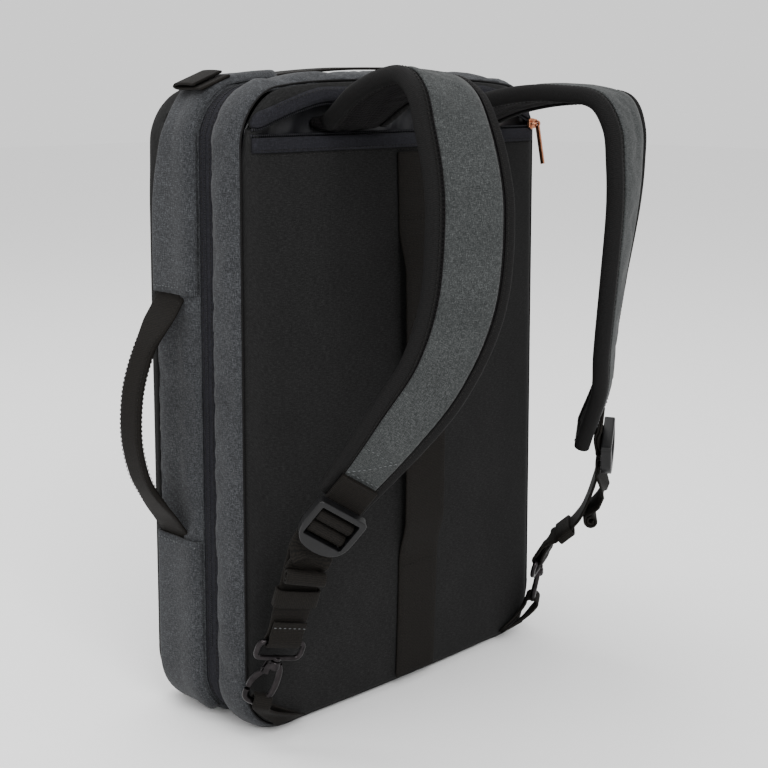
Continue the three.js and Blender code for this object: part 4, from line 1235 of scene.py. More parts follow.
    def piping_cord(self) -> None:
        """The cord sewn round the harness seam."""
        turns = np.radians(np.linspace(0, 360, 9)[:-1])
        rings = [
            OUTLINE.ring(
                self.spots,
                self.edge_inset + self.piping * (1 - math.cos(t)),
                OUTLINE.harness_seam + self.seam_back + self.piping * math.sin(t),
            )
            for t in turns
        ]
        obj = grid("piping", np.stack(rings, axis=1), ring_rows=True, ring_columns=True)
        dress(obj, Finishes.BINDING, "webbing", "piping")

    def pocket_back(self) -> None:
        """The lined wall behind the harness pocket, which shows in its open mouth."""
        inset = 6.2
        xs = np.linspace(-1, 1, 90) * (OUTLINE.width / 2 - inset)
        zs = np.linspace(0, 1, 70)
        rows = []
        for share in zs:
            row = []
            for x in xs:
                z = inset + 1 + share * (OUTLINE.height - 2 * inset - 2)
                wave = 1.3 * math.sin(x / 4.1 + 1.5 * math.sin(z / 11)) * math.sin(z / 14.0 + x / 29)
                corner = Pocket.corner_drop(x, OUTLINE.width / 2 - inset, 28)
                z = inset + 1 + corner + share * (OUTLINE.height - 2 * inset - 2 - 2 * corner)
                lift = OUTLINE.shaped(x, z)[1]
                row.append((OUTLINE.tapered(x, z), OUTLINE.harness_seam + self.pocket_depth + 1 + wave, lift))
            rows.append(row)
        obj = grid("pocket_lining", np.array(rows), outward=np.array([0, -1.0, 0]))
        thicken(obj, 1.5)
        dress(obj, Finishes.LINING, "lining", "back_board")


class Sewing:
    """The threads of the whole bag, filled by each sub-assembly and built last."""

    dark = SmallPieces("stitches_dark", pitch=2.9, length=2.1, width=0.55, height=0.5, wander=4)
    light = SmallPieces("stitches_light", pitch=3.0, length=2.1, width=0.6, height=0.55, wander=5, seed=11)

    @classmethod
    def build(cls) -> None:
        """Makes both threads."""
        dress(cls.dark.build(Finishes.DARK_THREAD), Finishes.DARK_THREAD, "webbing")
        dress(cls.light.build(Finishes.LIGHT_THREAD), Finishes.LIGHT_THREAD, "webbing")


@dataclass
class Pocket:
    """The strap pocket on the harness side: its panel, zip, open mouth and yoke, with the trolley strap."""

    drop: float = 25
    tape_height: float = 9
    teeth_height: float = 2.4
    mouth: float = 16
    lip_end: float = 1.2
    lip_reach: float = 0.93
    lip_ramp: float = 52
    seam_inset: float = 2.6
    roll: float = 5.0
    roll_reach: float = 11
    wall: float = 2.2
    fold: float = 0.8
    trolley_width: float = 38
    trolley_middle: float = 4
    trolley_top: float = 368
    trolley_foot: float = 8
    upper_stitch: float = 318
    lower_stitch: float = 92
    stand_off: float = 5.6

    @property
    def top(self) -> float:
        """Height of the panel's top edge."""
        return OUTLINE.height - self.drop

    @property
    def half(self) -> float:
        """Half the panel's width."""
        return OUTLINE.width / 2 - self.seam_inset

    @staticmethod
    def corner_drop(x: float, half: float, corner: float) -> float:
        """Height of a corner's round at X, from the straight edge that it leaves."""
        past = abs(x) - (half - corner)
        return corner - math.sqrt(max(corner**2 - past**2, 0)) if past > 0 else 0

    def foot(self, x: float) -> float:
        """Height of the panel's lower seam at X."""
        return self.seam_inset + self.corner_drop(x, self.half, OUTLINE.base_corner - self.seam_inset)

    def head(self, x: float) -> float:
        """Height of the yoke's upper seam at X."""
        dome = OUTLINE.shaped(x, OUTLINE.height - self.seam_inset)[1]
        return dome - self.corner_drop(x, self.half, OUTLINE.top_corner - self.seam_inset + 4)

    def lip(self, x: float) -> float:
        """Height of the mouth's upper lip at X."""
        ramp = min(max((self.lip_reach * self.half - abs(x)) / self.lip_ramp, 0), 1)
        rise = 1 - (1 - ramp) ** 1.35
        return self.top + self.teeth_height + self.lip_end + (self.mouth - self.lip_end) * rise

    def wave(self, x: float, z: Array) -> Array:
        """Soft upright folds of the panel, in millimetres off the face."""
        inside = np.sin(np.clip(z / self.top, 0, 1) * math.pi)
        return self.fold * inside * math.sin(x / 15 + 1.2) * math.exp(-(((x + 40) / 70) ** 2))

    def sheet(
        self,
        name: str,
        columns: Array,
        foot: Callable[[float], float],
        head: Callable[[float], float],
        stand_off: float,
        wall: float,
        rows: int,
    ) -> bpy.types.Object:
        """A sheet of cloth on the harness face.

        Args:
            name: The object's name.
            columns: The X places across it.
            foot: Its lower edge at X.
            head: Its upper edge at X.
            stand_off: How far it stands off the face.
            wall: Its thickness.
            rows: Faces up it.

        Returns:
            The object.
        """
        shares = np.linspace(0, 1, rows + 1)
        points = []
        for x in columns:
            low, high = foot(x), head(x)
            z = low + shares * (high - low)
            side = np.minimum(np.minimum(self.half - abs(x), z - self.foot(x)), self.head(x) - z)
            edge = self.roll * np.clip(1 - side / self.roll_reach, 0, 1) ** 2
            y = OUTLINE.harness(np.full_like(z, x), z) - stand_off + edge - self.wave(x, z)
            points.append(np.stack([OUTLINE.tapered(x, z), y, z], axis=1))
        up = shares * (head(0.0) - foot(0.0))
        obj = grid(name, np.array(points), around=up, outward=np.array([0, -1.0, 0]))
        thicken(obj, wall)
        return obj

    def build(self) -> None:
        """Makes and dresses the pocket."""
        columns = np.linspace(-1, 1, 91) * self.half
        lips = np.linspace(-0.965, 0.965, 91) * self.half
        inner = np.linspace(-0.97, 0.97, 91) * self.half
        panel = self.sheet("pocket_panel", columns, self.foot, self.panel_head, 0, self.wall, 90)
        dress(panel, Finishes.PANEL, "harness_cloth", "pocket_panel")
        low = self.top - self.tape_height
        tape = self.sheet("pocket_zip_tape", inner, lambda x: low, lambda x: self.top, 1.5, 1.2, 4)
        dress(tape, Finishes.TAPE, "zip_tape_cloth", "pocket_zip_tape")
        self.teeth("pocket_lower_teeth", inner, lambda x: self.top + 1.2)
        self.teeth("pocket_upper_teeth", lips, lambda x: self.lip(x) + 1.2)
        yoke = self.sheet("yoke", lips, self.yoke_foot, self.yoke_head, 0, self.wall, 14)
        dress(yoke, Finishes.PANEL, "harness_cloth", "yoke")
        facing = self.sheet(
            "pocket_upper_tape",
            lips,
            self.yoke_foot,
            lambda x: min(self.yoke_foot(x) + self.tape_height, self.yoke_head(x) - 0.5),
            1.2,
            1.1,
            3,
        )
        dress(facing, Finishes.TAPE, "zip_tape_cloth")
        self.sew(inner[2:-2], lambda x: low + 1.4, 1.6)
        self.sew(inner[2:-2], lambda x: low - 1.6, 0.1)
        self.sew(lips[6:-6], lambda x: self.yoke_foot(x) + self.tape_height - 1.4, 1.3)
        self.trolley()

    def panel_head(self, x: float) -> float:
        """Height of the panel's top edge at X, which meets the yoke at both ends of the mouth."""
        rise = (self.teeth_height + 4) * smooth_step(abs(x) / self.half, 0.94, 0.965)
        return min(self.top + rise, self.head(x))

    def yoke_foot(self, x: float) -> float:
        """Height of the yoke's lower edge at X."""
        return self.lip(x) + self.teeth_height + 0.3

    def yoke_head(self, x: float) -> float:
        """Height of the yoke's upper edge at X."""
        return max(self.head(x), self.yoke_foot(x) + 1)

    def line(self, columns: Array, height: Callable[[float], float], stand_off: float) -> Array:
        """Points along the harness face at a height that depends on X."""
        rows = []
        for x in columns:
            z = height(x)
            rows.append((OUTLINE.tapered(x, z), OUTLINE.harness(x, z) - stand_off, z))
        return np.array(rows)

    def sew(self, columns: Array, height: Callable[[float], float], stand_off: float) -> None:
        """Adds a row of dark stitches along the harness face."""
        Sewing.dark.rows.append(Row(self.line(columns, height, stand_off), np.array([0, -1.0, 0])))

    def teeth(self, name: str, columns: Array, height: Callable[[float], float]) -> None:
        """A row of zip teeth along one lip of the mouth."""
        pieces = SmallPieces(name, pitch=1.55, length=1.15, width=2.3, height=2.0)
        pieces.rows.append(Row(self.line(columns, height, -1.0), np.array([0, -1.0, 0])))
        dress(pieces.build(Finishes.COIL), Finishes.COIL, "zip_coil", name)

    def trolley(self) -> None:
        """The webbing sleeve down the middle, sewn flat above and below where it stands off the panel."""
        ramp = 30
        heights = np.linspace(self.trolley_foot, self.trolley_top, 110)
        rise = smooth_step(heights, self.lower_stitch, self.lower_stitch + ramp)
        fall = smooth_step(-heights, -self.upper_stitch, -self.upper_stitch + ramp)
        lift = rise * fall * self.stand_off + 0.9
        xs = np.full_like(heights, self.trolley_middle)
        y = OUTLINE.harness(xs, heights) - lift - 0.3
        centre = np.stack([xs, y, heights], axis=1)
        across = np.tile([1.0, 0.0, 0.0], (len(heights), 1))
        width = np.full(len(heights), self.trolley_width)
        ribbon = Ribbon(centre, across, width, 1.8)
        dress(ribbon.build("trolley_strap", 8), Finishes.WEBBING, "webbing", "trolley_strap")
        half = self.trolley_width / 2 - 2.5
        xs = np.linspace(-half, half, 12) + self.trolley_middle
        for z in (self.upper_stitch + 8, self.upper_stitch + 5, self.upper_stitch - 4, self.lower_stitch + 4,
                  self.lower_stitch - 5):
            self.sew(xs, lambda x, z=z: z, 2.3)


@dataclass
class Handles:
    """The side and top webbing handles, the cloth patches over their ends and the two folded corner tabs."""

    webbing_wall: float = 1.8
    side_width: float = 29
    side_grip: float = 20
    side_top: float = 281
    side_foot: float = 122
    side_bow: float = 33
    side_y: float = 19
    top_reach: float = 78
    top_middle: float = 6
    top_bow: float = 4.5
    top_y: float = 14
    top_width: float = 25
    overlay_wall: float = 1.1
    tab_width: float = 25
    tab_gap: float = 1.2
    body: BagBody = field(default_factory=BagBody)

    def build(self) -> None:
        """Makes and dresses the handles."""
        self.side_handle()
        self.top_handle()
        self.overlays()
        self.tab("left", -1, 70, 27)
        self.tab("right", 1, 50, 28)

    def side_handle(self) -> None:
        """The grip: wide flat ends, and a middle folded in half lengthwise and sewn along its edge."""
        rows = [
            (-0.09, 0),
            (0, 0),
            (0.05, 0.12),
            (0.13, 0.4),
            (0.25, 0.74),
            (0.4, 0.96),
            (0.55, 1),
            (0.7, 0.86),
            (0.84, 0.5),
            (0.94, 0.16),
            (1, 0),
            (1.09, 0),
        ]
        along, out = spline(rows, np.linspace(0, 1, 100)).T
        out = np.maximum(out, 0)
        z = self.side_top + (self.side_foot - self.side_top) * along
        edge = np.array([OUTLINE.shaped(-OUTLINE.width / 2, height)[0] for height in z])
        root = 0.3 + self.webbing_wall / 2
        centre = np.stack([edge - root - out * self.side_bow, np.full_like(z, self.side_y), z], axis=1)
        pinch = smooth_step(out, 0.25, 0.7)
        width = self.side_width + (self.side_grip - self.side_width) * pinch
        wall = self.webbing_wall * (1 + 1.4 * pinch)
        ribbon = Ribbon(centre, np.tile([0, 1.0, 0], (len(z), 1)), width, wall)
        dress(ribbon.build("side_handle", 6), Finishes.WEBBING, "webbing", "side_handle")
        _, _, normal = ribbon.axes()
        sewn = slice(12, 88)
        for share in (-0.86, 0.86):
            for side in (-1, 1):
                line = ribbon.at(np.full(len(z), share), side * wall / 2)[sewn]
                Sewing.dark.rows.append(Row(line, side * normal[sewn]))

    def top_handle(self) -> None:
        """The thin carrying handle over the top, nearly straight above the domed cloth."""
        rows = [
            (-1.12, 0),
            (-1, 0),
            (-0.85, 0.12),
            (-0.6, 0.42),
            (-0.3, 0.76),
            (0, 0.97),
            (0.3, 1),
            (0.6, 1),
            (0.82, 0.8),
            (0.93, 0.25),
            (0.98, 0),
            (1.1, 0),
        ]
        along, lift = spline(rows, np.linspace(0, 1, 90)).T
        crest = OUTLINE.shaped(0, OUTLINE.height)[1]
        spots = [OUTLINE.shaped(self.top_middle + a * self.top_reach, OUTLINE.height) for a in along]
        x, top = np.array(spots).T
        height = np.maximum(lift, 0) * (self.top_bow + crest - top)
        centre = np.stack(
            [x, np.full_like(x, self.top_y), top + 0.3 + self.webbing_wall / 2 + height], axis=1
        )
        ribbon = Ribbon(
            centre, np.tile([0, 1.0, 0], (len(x), 1)), np.full(len(x), self.top_width), self.webbing_wall
        )
        dress(ribbon.build("top_handle", 6), Finishes.WEBBING, "webbing", "top_handle")

    def overlays(self) -> None:
        """The patches of gusset cloth, each with a sewn hem at its free end."""
        turn = np.linspace(0, 90, 14)
        side = OUTLINE.height_share
        top_share = [
            (self.top_middle + hand * self.top_reach) / (OUTLINE.width / 2 - OUTLINE.top_corner)
            for hand in (-1, 1)
        ]
        left = [Spot(-1, 0, v) for v in np.linspace(side(self.side_top), 1, 24)]
        left += [Spot(-1, 1, v) for v in turn[1:]] + [
            Spot(0, 1, v) for v in np.linspace(-1, top_share[0], 12)[1:]
        ]
        right = [Spot(1, 1, v) for v in turn] + [Spot(0, 1, v) for v in np.linspace(1, top_share[1], 12)[1:]]
        base = [Spot(-1, 0, v) for v in np.linspace(side(self.side_foot), 0, 24)]
        base += [Spot(-1, -1, v) for v in np.linspace(0, 50, 9)[1:]]
        self.overlay("overlay_top_left", left, True)
        self.overlay("overlay_top_right", right[::-1], False)
        self.overlay("overlay_base_left", base, True)

    def overlay(self, name: str, spots: Sequence[Spot], hemmed: bool) -> None:
        """One patch, from its hem on.

        Args:
            name: The object's name.
            spots: The places that it passes, the hem first.
            hemmed: Whether stitches show at the hem.
        """
        over = self.webbing_wall + 0.6 + self.overlay_wall
        front, rear = self.body.rim_y - 0.3, self.body.tape_front + 0.8
        profile = [(-0.4, front + 0.6), (-over + 0.7, front - 0.4), (-over, front - 3)]
        profile += [
            (-over - 0.3, (front + rear) / 2),
            (-over - 1.6, rear + 11),
            (-over - 0.9, rear + 4),
            (-0.2, rear),
        ]
        dense = spline(profile, np.linspace(0, 1, 19))
        obj = band(name, spots, dense, closed=False, shift=self.body.wrapped)
        thicken(obj, self.overlay_wall)
        dress(obj, Finishes.HEATHER, "heather_cloth", name)
        if hemmed:
            hem = OUTLINE.ring([spots[1]], -over - 0.5, 0)[0]
            ys = np.linspace(rear + 3, front - 3, 14)
            line = np.array([(hem[0], y, hem[2]) for y in ys])
            Sewing.light.rows.append(Row(line, np.array([-1.0, 0, 0])))

    def tab(self, hand: str, side: int, angle: float, length: float) -> None:
        """A folded tab on a top corner, its two ends in the zip seam.

        Args:
            hand: left or right.
            side: 1 right, -1 left.
            angle: Where on the corner it sits, in degrees.
            length: From the seam to its fold.
        """
        under = 0.3 + self.webbing_wall + 0.3 + self.overlay_wall + 0.3
        x, z = OUTLINE.at(Spot(side, 1, angle), -under)
        turn = math.radians(angle)
        out = np.array([side * math.cos(turn), 0, math.sin(turn)])
        across = np.array([math.sin(turn), 0, -side * math.cos(turn)])
        fold = self.tab_gap / 2 + self.webbing_wall / 2
        path = [
            (0, 0), (0.3, 0), (0.85, 0), (0.95, 0.15), (1, 0.5),
            (0.95, 0.85), (0.85, 1), (0.5, 1.05), (0.25, 0.9),
        ]
        rows = []
        for along, lift in path:
            seat = np.array([x, self.body.tape_front + 3.5 + along * length, z])
            rows.append(
                (seat + out * (self.webbing_wall / 2 + 0.3 + lift * 2 * fold), across, self.tab_width)
            )
        ribbon = Ribbon.through(rows, self.webbing_wall)
        dress(ribbon.build(f"top_tab_{hand}", 6), Finishes.WEBBING, "webbing", f"top_tab_{hand}")


# Shoulder straps


@dataclass(frozen=True)
class StrapRow:
    """One row of a strap's path.

    Attributes:
        spread: Share of the spread from the middle.
        out: Share of the reach away from the bag.
        up: 0 at the tip and 1 at the pocket's mouth.
        turn: Turn of its width, in degrees.
        lift: Slope of its width, in degrees.
        width: Share of the pad's width.
    """

    spread: float
    out: float
    up: float
    turn: float
    lift: float
    width: float


STRAP_FALL = [
    StrapRow(0.647, 0.985, 0.767, 21, 0, 1),
    StrapRow(0.638, 0.939, 0.525, 27, 0, 0.96),
    StrapRow(0.724, 0.847, 0.336, 30, 0, 0.86),
]
STRAP_ROWS = {
    "left": [
        StrapRow(0.472, 0.005, 0.988, 0, 0, 0.96),
        StrapRow(0.472, 0.09, 0.988, 0, 0, 0.96),
        StrapRow(0.495, 0.32, 1.065, 0, 4, 1),
        StrapRow(0.51, 0.5, 1.1, 1, 6, 1),
        StrapRow(0.545, 0.67, 1.105, 2, 7, 1),
        StrapRow(0.59, 0.8, 1.065, 8, 5, 1),
        StrapRow(0.62, 0.885, 0.985, 14, 1, 1),
        StrapRow(0.634, 0.954, 0.87, 18, 0, 1),
        *STRAP_FALL,
        StrapRow(0.871, 0.717, 0.184, 33, 0, 0.79),
        StrapRow(1, 0.502, 0, 40, 0, 0.6),
    ],
    "right": [
        StrapRow(0.472, 0.005, 0.988, 0, 0, 0.96),
        StrapRow(0.472, 0.09, 0.988, 0, 0, 0.96),
        StrapRow(0.515, 0.3, 1.035, 0, -2, 1),
        StrapRow(0.56, 0.53, 1.06, 0, -3, 1),
        StrapRow(0.605, 0.73, 1.062, 4, -3, 1),
        StrapRow(0.638, 0.9, 1.045, 10, -2, 1),
        StrapRow(0.645, 0.975, 0.972, 15, -1, 1),
        StrapRow(0.645, 0.99, 0.87, 18, 0, 1),
        *STRAP_FALL,
        StrapRow(0.871, 0.73, 0.184, 33, 0, 0.79),
        StrapRow(1, 0.54, 0, 40, 0, 0.6),
    ],
}


@dataclass
class ShoulderStrap:
    """A padded strap: the mesh pad, the cloth face on its outside, the folded binding and its stitches."""

    hand: str
    side: int
    pad_width: float = 56
    pad_wall: float = 8
    lap: float = 7.5
    binding_wall: float = 1.1
    face_wall: float = 1.0
    spread: float = 116
    reach: float = 131
    tip_height: float = 168
    mouth_height: float = 390.4
    root_y: float = -45.3
    steps: int = 150
    coarse_steps: int = 21

    def ribbon(self, shares: Array) -> Ribbon:
        """The strap's middle at shares of its path."""
        rows = STRAP_ROWS[self.hand]
        points = [
            (
                self.side * row.spread * self.spread,
                self.root_y - row.out * self.reach,
                self.tip_height + row.up * (self.mouth_height - self.tip_height),
            )
            for row in rows
        ]
        centre = spline(points, shares)
        turn, lift, width = spline([(row.turn, row.lift, row.width) for row in rows], shares).T
        turn, lift = np.radians(turn), np.radians(lift)
        across = np.stack([np.cos(turn), self.side * np.sin(turn), self.side * np.sin(lift)], axis=1)
        return Ribbon(centre, across, width * self.pad_width, self.pad_wall)

    def tip(self) -> tuple[Array, Array, Array, Array]:
        """Place, tangent, across and normal at the strap's tip, as its hardware is hung from it."""
        end = self.ribbon(np.array([1 - 1 / self.coarse_steps, 1.0]))
        tangent = unit(end.centre[1] - end.centre[0])
        across = unit(end.across[1])
        across = unit(across - across.dot(tangent) * tangent)
        return end.centre[1], tangent, across, unit(np.cross(tangent, across))

    def build(self) -> None:
        """Makes and dresses the strap."""
        ribbon = self.ribbon(np.linspace(0, 1, self.steps + 1))
        pad, outer = self.pad(ribbon)
        dress(pad, Finishes.MESH, "spacer_mesh", f"strap_pad_{self.hand}")
        face = self.face(outer)
        dress(face, Finishes.STRAP_HEATHER, "heather_cloth", f"strap_face_{self.hand}")
        binding = self.binding(ribbon)
        dress(binding, Finishes.BINDING, "webbing", f"strap_binding_{self.hand}")
        self.sew(ribbon, outer)

    def pad(self, ribbon: Ribbon) -> tuple[bpy.types.Object, Array]:
        """The foam pad in its mesh, swelled between the bindings.

        Args:
            ribbon: The strap's middle.

        Returns:
            The object, and the grid of its outer side.
        """
        _, level, normal = ribbon.axes()
        inset = self.binding_wall + 0.3
        half = ribbon.width / 2 - inset
        flat = np.linspace(-1, 1, 17)
        edge = 2.2
        ring = [(share, 0.0, 1.0) for share in flat]
        ring += [(1.0, math.cos(t), math.sin(t)) for t in np.radians([50, 0, -50])]
        ring += [(share, 0.0, -1.0) for share in flat[::-1]]
        ring += [(-1.0, -math.cos(t), math.sin(t)) for t in np.radians([-50, 0, 50])]
        columns = []
        for share, bulge, side in ring:
            crown = 1.1 * (1 - share**4) if bulge == 0 else 0.0
            high = (self.pad_wall / 2 - 0.6) * side + math.copysign(crown, side) * (bulge == 0)
            out = share * (half - edge) + bulge * edge
            columns.append(ribbon.centre + level * out[:, None] + normal * high)
        rows = np.stack(columns, axis=1)
        obj = grid(f"strap_pad_{self.hand}", rows, run_length(ribbon.centre), ring_columns=True, caps=True)
        pins = np.ones((len(rows), len(ring)))
        free = slice(4, 13)
        pins[3:-3, free] = 0
        pins[3:-3, 17 + 3 + 4 : 17 + 3 + 13] = 0
        Cloth(pressure=1.6, slack=0.01, reach=1.6, bending=1.2).settle(obj, pins.ravel())
        settled = mesh_points(obj.data).reshape(len(rows), len(ring), 3) / MM
        return obj, settled[:, :17]

    def face(self, outer: Array) -> bpy.types.Object:
        """The cloth on the strap's outer side, up to the bindings.

        Args:
            outer: The pad's outer side as a grid of points.

        Returns:
            The object.
        """
        along = np.gradient(outer, axis=0)
        across = np.gradient(outer, axis=1)
        away = unit(np.cross(along, across))
        rows = (outer + away * (self.face_wall + 0.4))[4:-1, 2:-2]
        obj = grid(f"strap_face_{self.hand}", rows, outward=away[4:-1, 2:-2].reshape(-1, 3))
        thicken(obj, self.face_wall)
        return obj

    def binding(self, ribbon: Ribbon) -> bpy.types.Object:
        """The tape folded over both edges and round the tip.

        Args:
            ribbon: The strap's middle.

        Returns:
            The object.
        """
        forward, level, normal = ribbon.axes()
        high = self.pad_wall / 2 + 0.3 + self.binding_wall
        turns = np.radians(np.linspace(90, -90, 9))
        profile = [(self.lap, high - 0.2), (self.lap * 0.6, high)]
        profile += [(3.2 - 3.2 * math.cos(t), high * math.sin(t)) for t in turns]
        profile += [(self.lap * 0.6, -high), (self.lap, 0.2 - high)]
        sections, frames = [], []
        first = 14
        for sign in (-1, 1):
            run = range(first, len(forward) - 1)
            for i in run if sign < 0 else reversed(run):
                rim = ribbon.centre[i] + level[i] * sign * ribbon.width[i] / 2
                frames.append((rim, -sign * level[i], normal[i]))
            if sign < 0:
                frames.extend(self.tip_frames(ribbon, forward, level, normal))
        for rim, inward, out in frames:
            sections.append([rim + inward * a + out * n for a, n in profile])
        away = np.array([(-inward) + 0 * out for _, inward, out in frames])
        obj = grid(
            f"strap_binding_{self.hand}", np.array(sections), outward=np.repeat(away, len(profile), axis=0)
        )
        thicken(obj, self.binding_wall)
        return obj

    def tip_frames(self, ribbon: Ribbon, forward: Array, level: Array, normal: Array) -> list[tuple]:
        """Rim, inward direction and normal of the binding round the tip."""
        frames = []
        last = len(forward) - 1
        half = ribbon.width[last] / 2
        for angle in np.radians(np.linspace(-75, 75, 11)):
            share = math.sin(angle) / math.sin(math.radians(75))
            inward = unit(-forward[last] * math.cos(angle) - level[last] * math.sin(angle))
            bow = 2.4 * math.cos(angle)
            rim = ribbon.centre[last] + level[last] * share * half + forward[last] * (self.binding_wall + bow)
            frames.append((rim, inward, normal[last]))
        return frames

    def sew(self, ribbon: Ribbon, outer: Array) -> None:
        """Stitches down both bindings, and the light box and diagonals at the tip.

        Args:
            ribbon: The strap's middle.
            outer: The pad's outer side.
        """
        _, _, normal = ribbon.axes()
        high = self.pad_wall / 2 + 0.4 + self.binding_wall
        run = slice(16, -2)
        for sign in (-1, 1):
            share = sign * (1 - 2 * (self.lap - 1.3) / ribbon.width)
            for face in (-1, 1):
                Sewing.dark.rows.append(Row(ribbon.at(share, face * high)[run], face * normal[run]))
        corners = [(19.5, 0.86), (19.5, -0.9), (38, 0.76), (38, -0.76)]
        away = unit(np.cross(np.gradient(outer, axis=0), np.gradient(outer, axis=1)))
        if (away * normal[:, None]).sum() < 0:
            away = -away
        surface = outer + away * (self.face_wall + 0.75)
        total = run_length(ribbon.centre)
        for (near, a), (far, b) in zip(corners, corners[1:]):
            line, facing = [], []
            for t in np.linspace(0, 1, 12):
                row = np.interp(total[-1] - near - (far - near) * t, total, np.arange(len(total)))
                column = (1 - self.side * (a + (b - a) * t)) / 2 * (outer.shape[1] - 5) + 2
                line.append(self.blend(surface, row, column))
                facing.append(away[int(row), int(column)])
            Sewing.light.rows.append(Row(np.array(line), np.array(facing)))

    @staticmethod
    def blend(table: Array, row: float, column: float) -> Array:
        """A point between the four nearest points of a grid."""
        i, j = int(row), int(column)
        u, v = row - i, column - j
        upper = table[i, j] * (1 - v) + table[i, j + 1] * v
        lower = table[i + 1, j] * (1 - v) + table[i + 1, j + 1] * v
        return upper * (1 - u) + lower * u


# Ladder locks, webbing chains and snap hooks


@dataclass(frozen=True)
class Frame:
    """An origin with three directions: across, up and out."""

    origin: Array
    up: Array
    across: Array
    out: Array
    face: int = 1

    @classmethod
    def from_axes(cls, origin: Array, up: Array, across: Array) -> Frame:
        """A frame whose across direction is squared to up."""
        level = unit(across - across.dot(up) * up)
        return cls(origin, up, level, np.cross(level, up))

    def at(self, a: float, u: float, o: float) -> Array:
        """The point at distances across, up and out."""
        return self.origin + self.across * a + self.up * u + self.out * o

    def place(self, points: Array) -> Array:
        """Points given as rows of across, up and out."""
        return self.origin + points @ np.stack([self.across, self.up, self.out])


@dataclass(frozen=True)
class Hang:
    """How the chain below one strap hangs. Lengths are millimetres and angles degrees.

    Attributes:
        side: 1 right, -1 left.
        inset: The hook's lowest bend, in from the bag's side.
        out: The bend, out from the harness seam.
        up: The bend, up from the base.
        lean_across: Slope of the hook's up direction, away from its side.
        lean_out: Slope of the hook's up direction, away from the bag.
        turn: Turn of the hook about its up direction.
        eye_turn: Turn of its eye.
        lock_drop: The lock's middle below the strap's tip.
        lock_out: The lock's middle out from the strap's tip.
        lock_tilt: The lock's tilt.
        sag: Bow of the webbing.
        spread: How far the roll's first layer stands off.
        roll: Share of the chain at which the tail is rolled.
        keeper: Share of the chain at which the keeper sits.
        foot_inset: The base loop's foot, in from the bag's side.
        foot_up: The base loop's foot, up from the base.
        foot_slope: Slope of the foot's width.
    """

    side: int
    inset: float
    out: float
    up: float
    lean_across: float
    lean_out: float
    turn: float
    eye_turn: float
    lock_drop: float
    lock_out: float
    lock_tilt: float
    sag: float
    spread: float
    roll: float
    keeper: float
    foot_inset: float
    foot_up: float
    foot_slope: float


HANGS = {
    "left": Hang(-1, 0.5, 9, 31, 0.12, 0.38, 35, 20, 16, 12.5, 0, 0, 0.3, 0.34, 0.68, 29.5, 8, 0),
    "right": Hang(1, 14, 12, 29, 0.22, 0.38, 35, 21, 10, 18, 15, 9, 1, 0.48, 0.77, 29, 9, 0.1),
}


def tube(
    points: Array, radii: Array | float, side: Array, closed: bool = False, sides: int = 14
) -> bpy.types.Object:
    """A round bar along points, in the plane that side stands on.

    Args:
        points: Its middle line.
        radii: Its radius, one or one for each point.
        side: The direction off the plane of the line.
        closed: Whether its end joins its start.
        sides: Faces round it.

    Returns:
        The object.
    """
    if closed:
        forward = unit(np.roll(points, -1, axis=0) - np.roll(points, 1, axis=0))
    else:
        forward = tangents(points)
    normal = unit(np.cross(forward, side))
    binormal = unit(np.cross(normal, forward))
    sizes = np.broadcast_to(np.asarray(radii, float), (len(points),))[:, None, None]
    turn = np.linspace(0, 2 * math.pi, sides, endpoint=False)[None, :, None]
    rows = points[:, None] + sizes * (np.cos(turn) * binormal[:, None] + np.sin(turn) * normal[:, None])
    return grid("bar", rows, ring_rows=closed, ring_columns=True, caps=not closed)


def slab(
    outline: Array, low: float, high: float, holes: Sequence[Array] = (), bevel: float = 0.4
) -> bpy.types.Object:
    """A flat plate with rounded edges, in its own plane.

    Args:
        outline: Its outline as rows of across and up.
        low: Its lower face.
        high: Its upper face.
        holes: Outlines of its openings.
        bevel: Size of the round on its edges.

    Returns:
        The object, whose third axis is the plate's thickness.
    """
    curve = bpy.data.curves.new("plate", "CURVE")
    curve.dimensions = "2D"
    curve.fill_mode = "BOTH"
    curve.extrude = ((high - low) / 2 - bevel) * MM
    curve.bevel_depth = bevel * MM
    curve.bevel_resolution = 2
    curve.offset = -bevel * MM
    for ring in (outline, *holes):
        line = curve.splines.new("POLY")
        line.points.add(len(ring) - 1)
        for point, (x, y) in zip(line.points, ring):
            point.co = (x * MM, y * MM, 0, 1)
        line.use_cyclic_u = True
    holder = bpy.data.objects.new("plate", curve)
    bpy.context.scene.collection.objects.link(holder)
    graph = bpy.context.evaluated_depsgraph_get()
    mesh = bpy.data.meshes.new_from_object(holder.evaluated_get(graph), depsgraph=graph)
    bpy.data.objects.remove(holder)
    shape = bmesh.new()
    shape.from_mesh(mesh)
    bmesh.ops.remove_doubles(shape, verts=shape.verts, dist=1e-6)
    bmesh.ops.translate(shape, verts=shape.verts, vec=Vector((0, 0, (low + high) / 2 * MM)))
    bmesh.ops.recalc_face_normals(shape, faces=shape.faces)
    shape.to_mesh(mesh)
    shape.free()
    obj = bpy.data.objects.new("plate", mesh)
    bpy.context.scene.collection.objects.link(obj)
    return obj


def turned(profile: Sequence[tuple[float, float]], sides: int = 28) -> bpy.types.Object:
    """A closed ring turned about the up axis, from a closed profile of radius and height."""
    rows = []
    for angle in np.linspace(0, 2 * math.pi, sides, endpoint=False):
        rows.append([(r * math.cos(angle), h, r * math.sin(angle)) for r, h in profile])
    return grid("ring", np.array(rows), ring_rows=True, ring_columns=True)


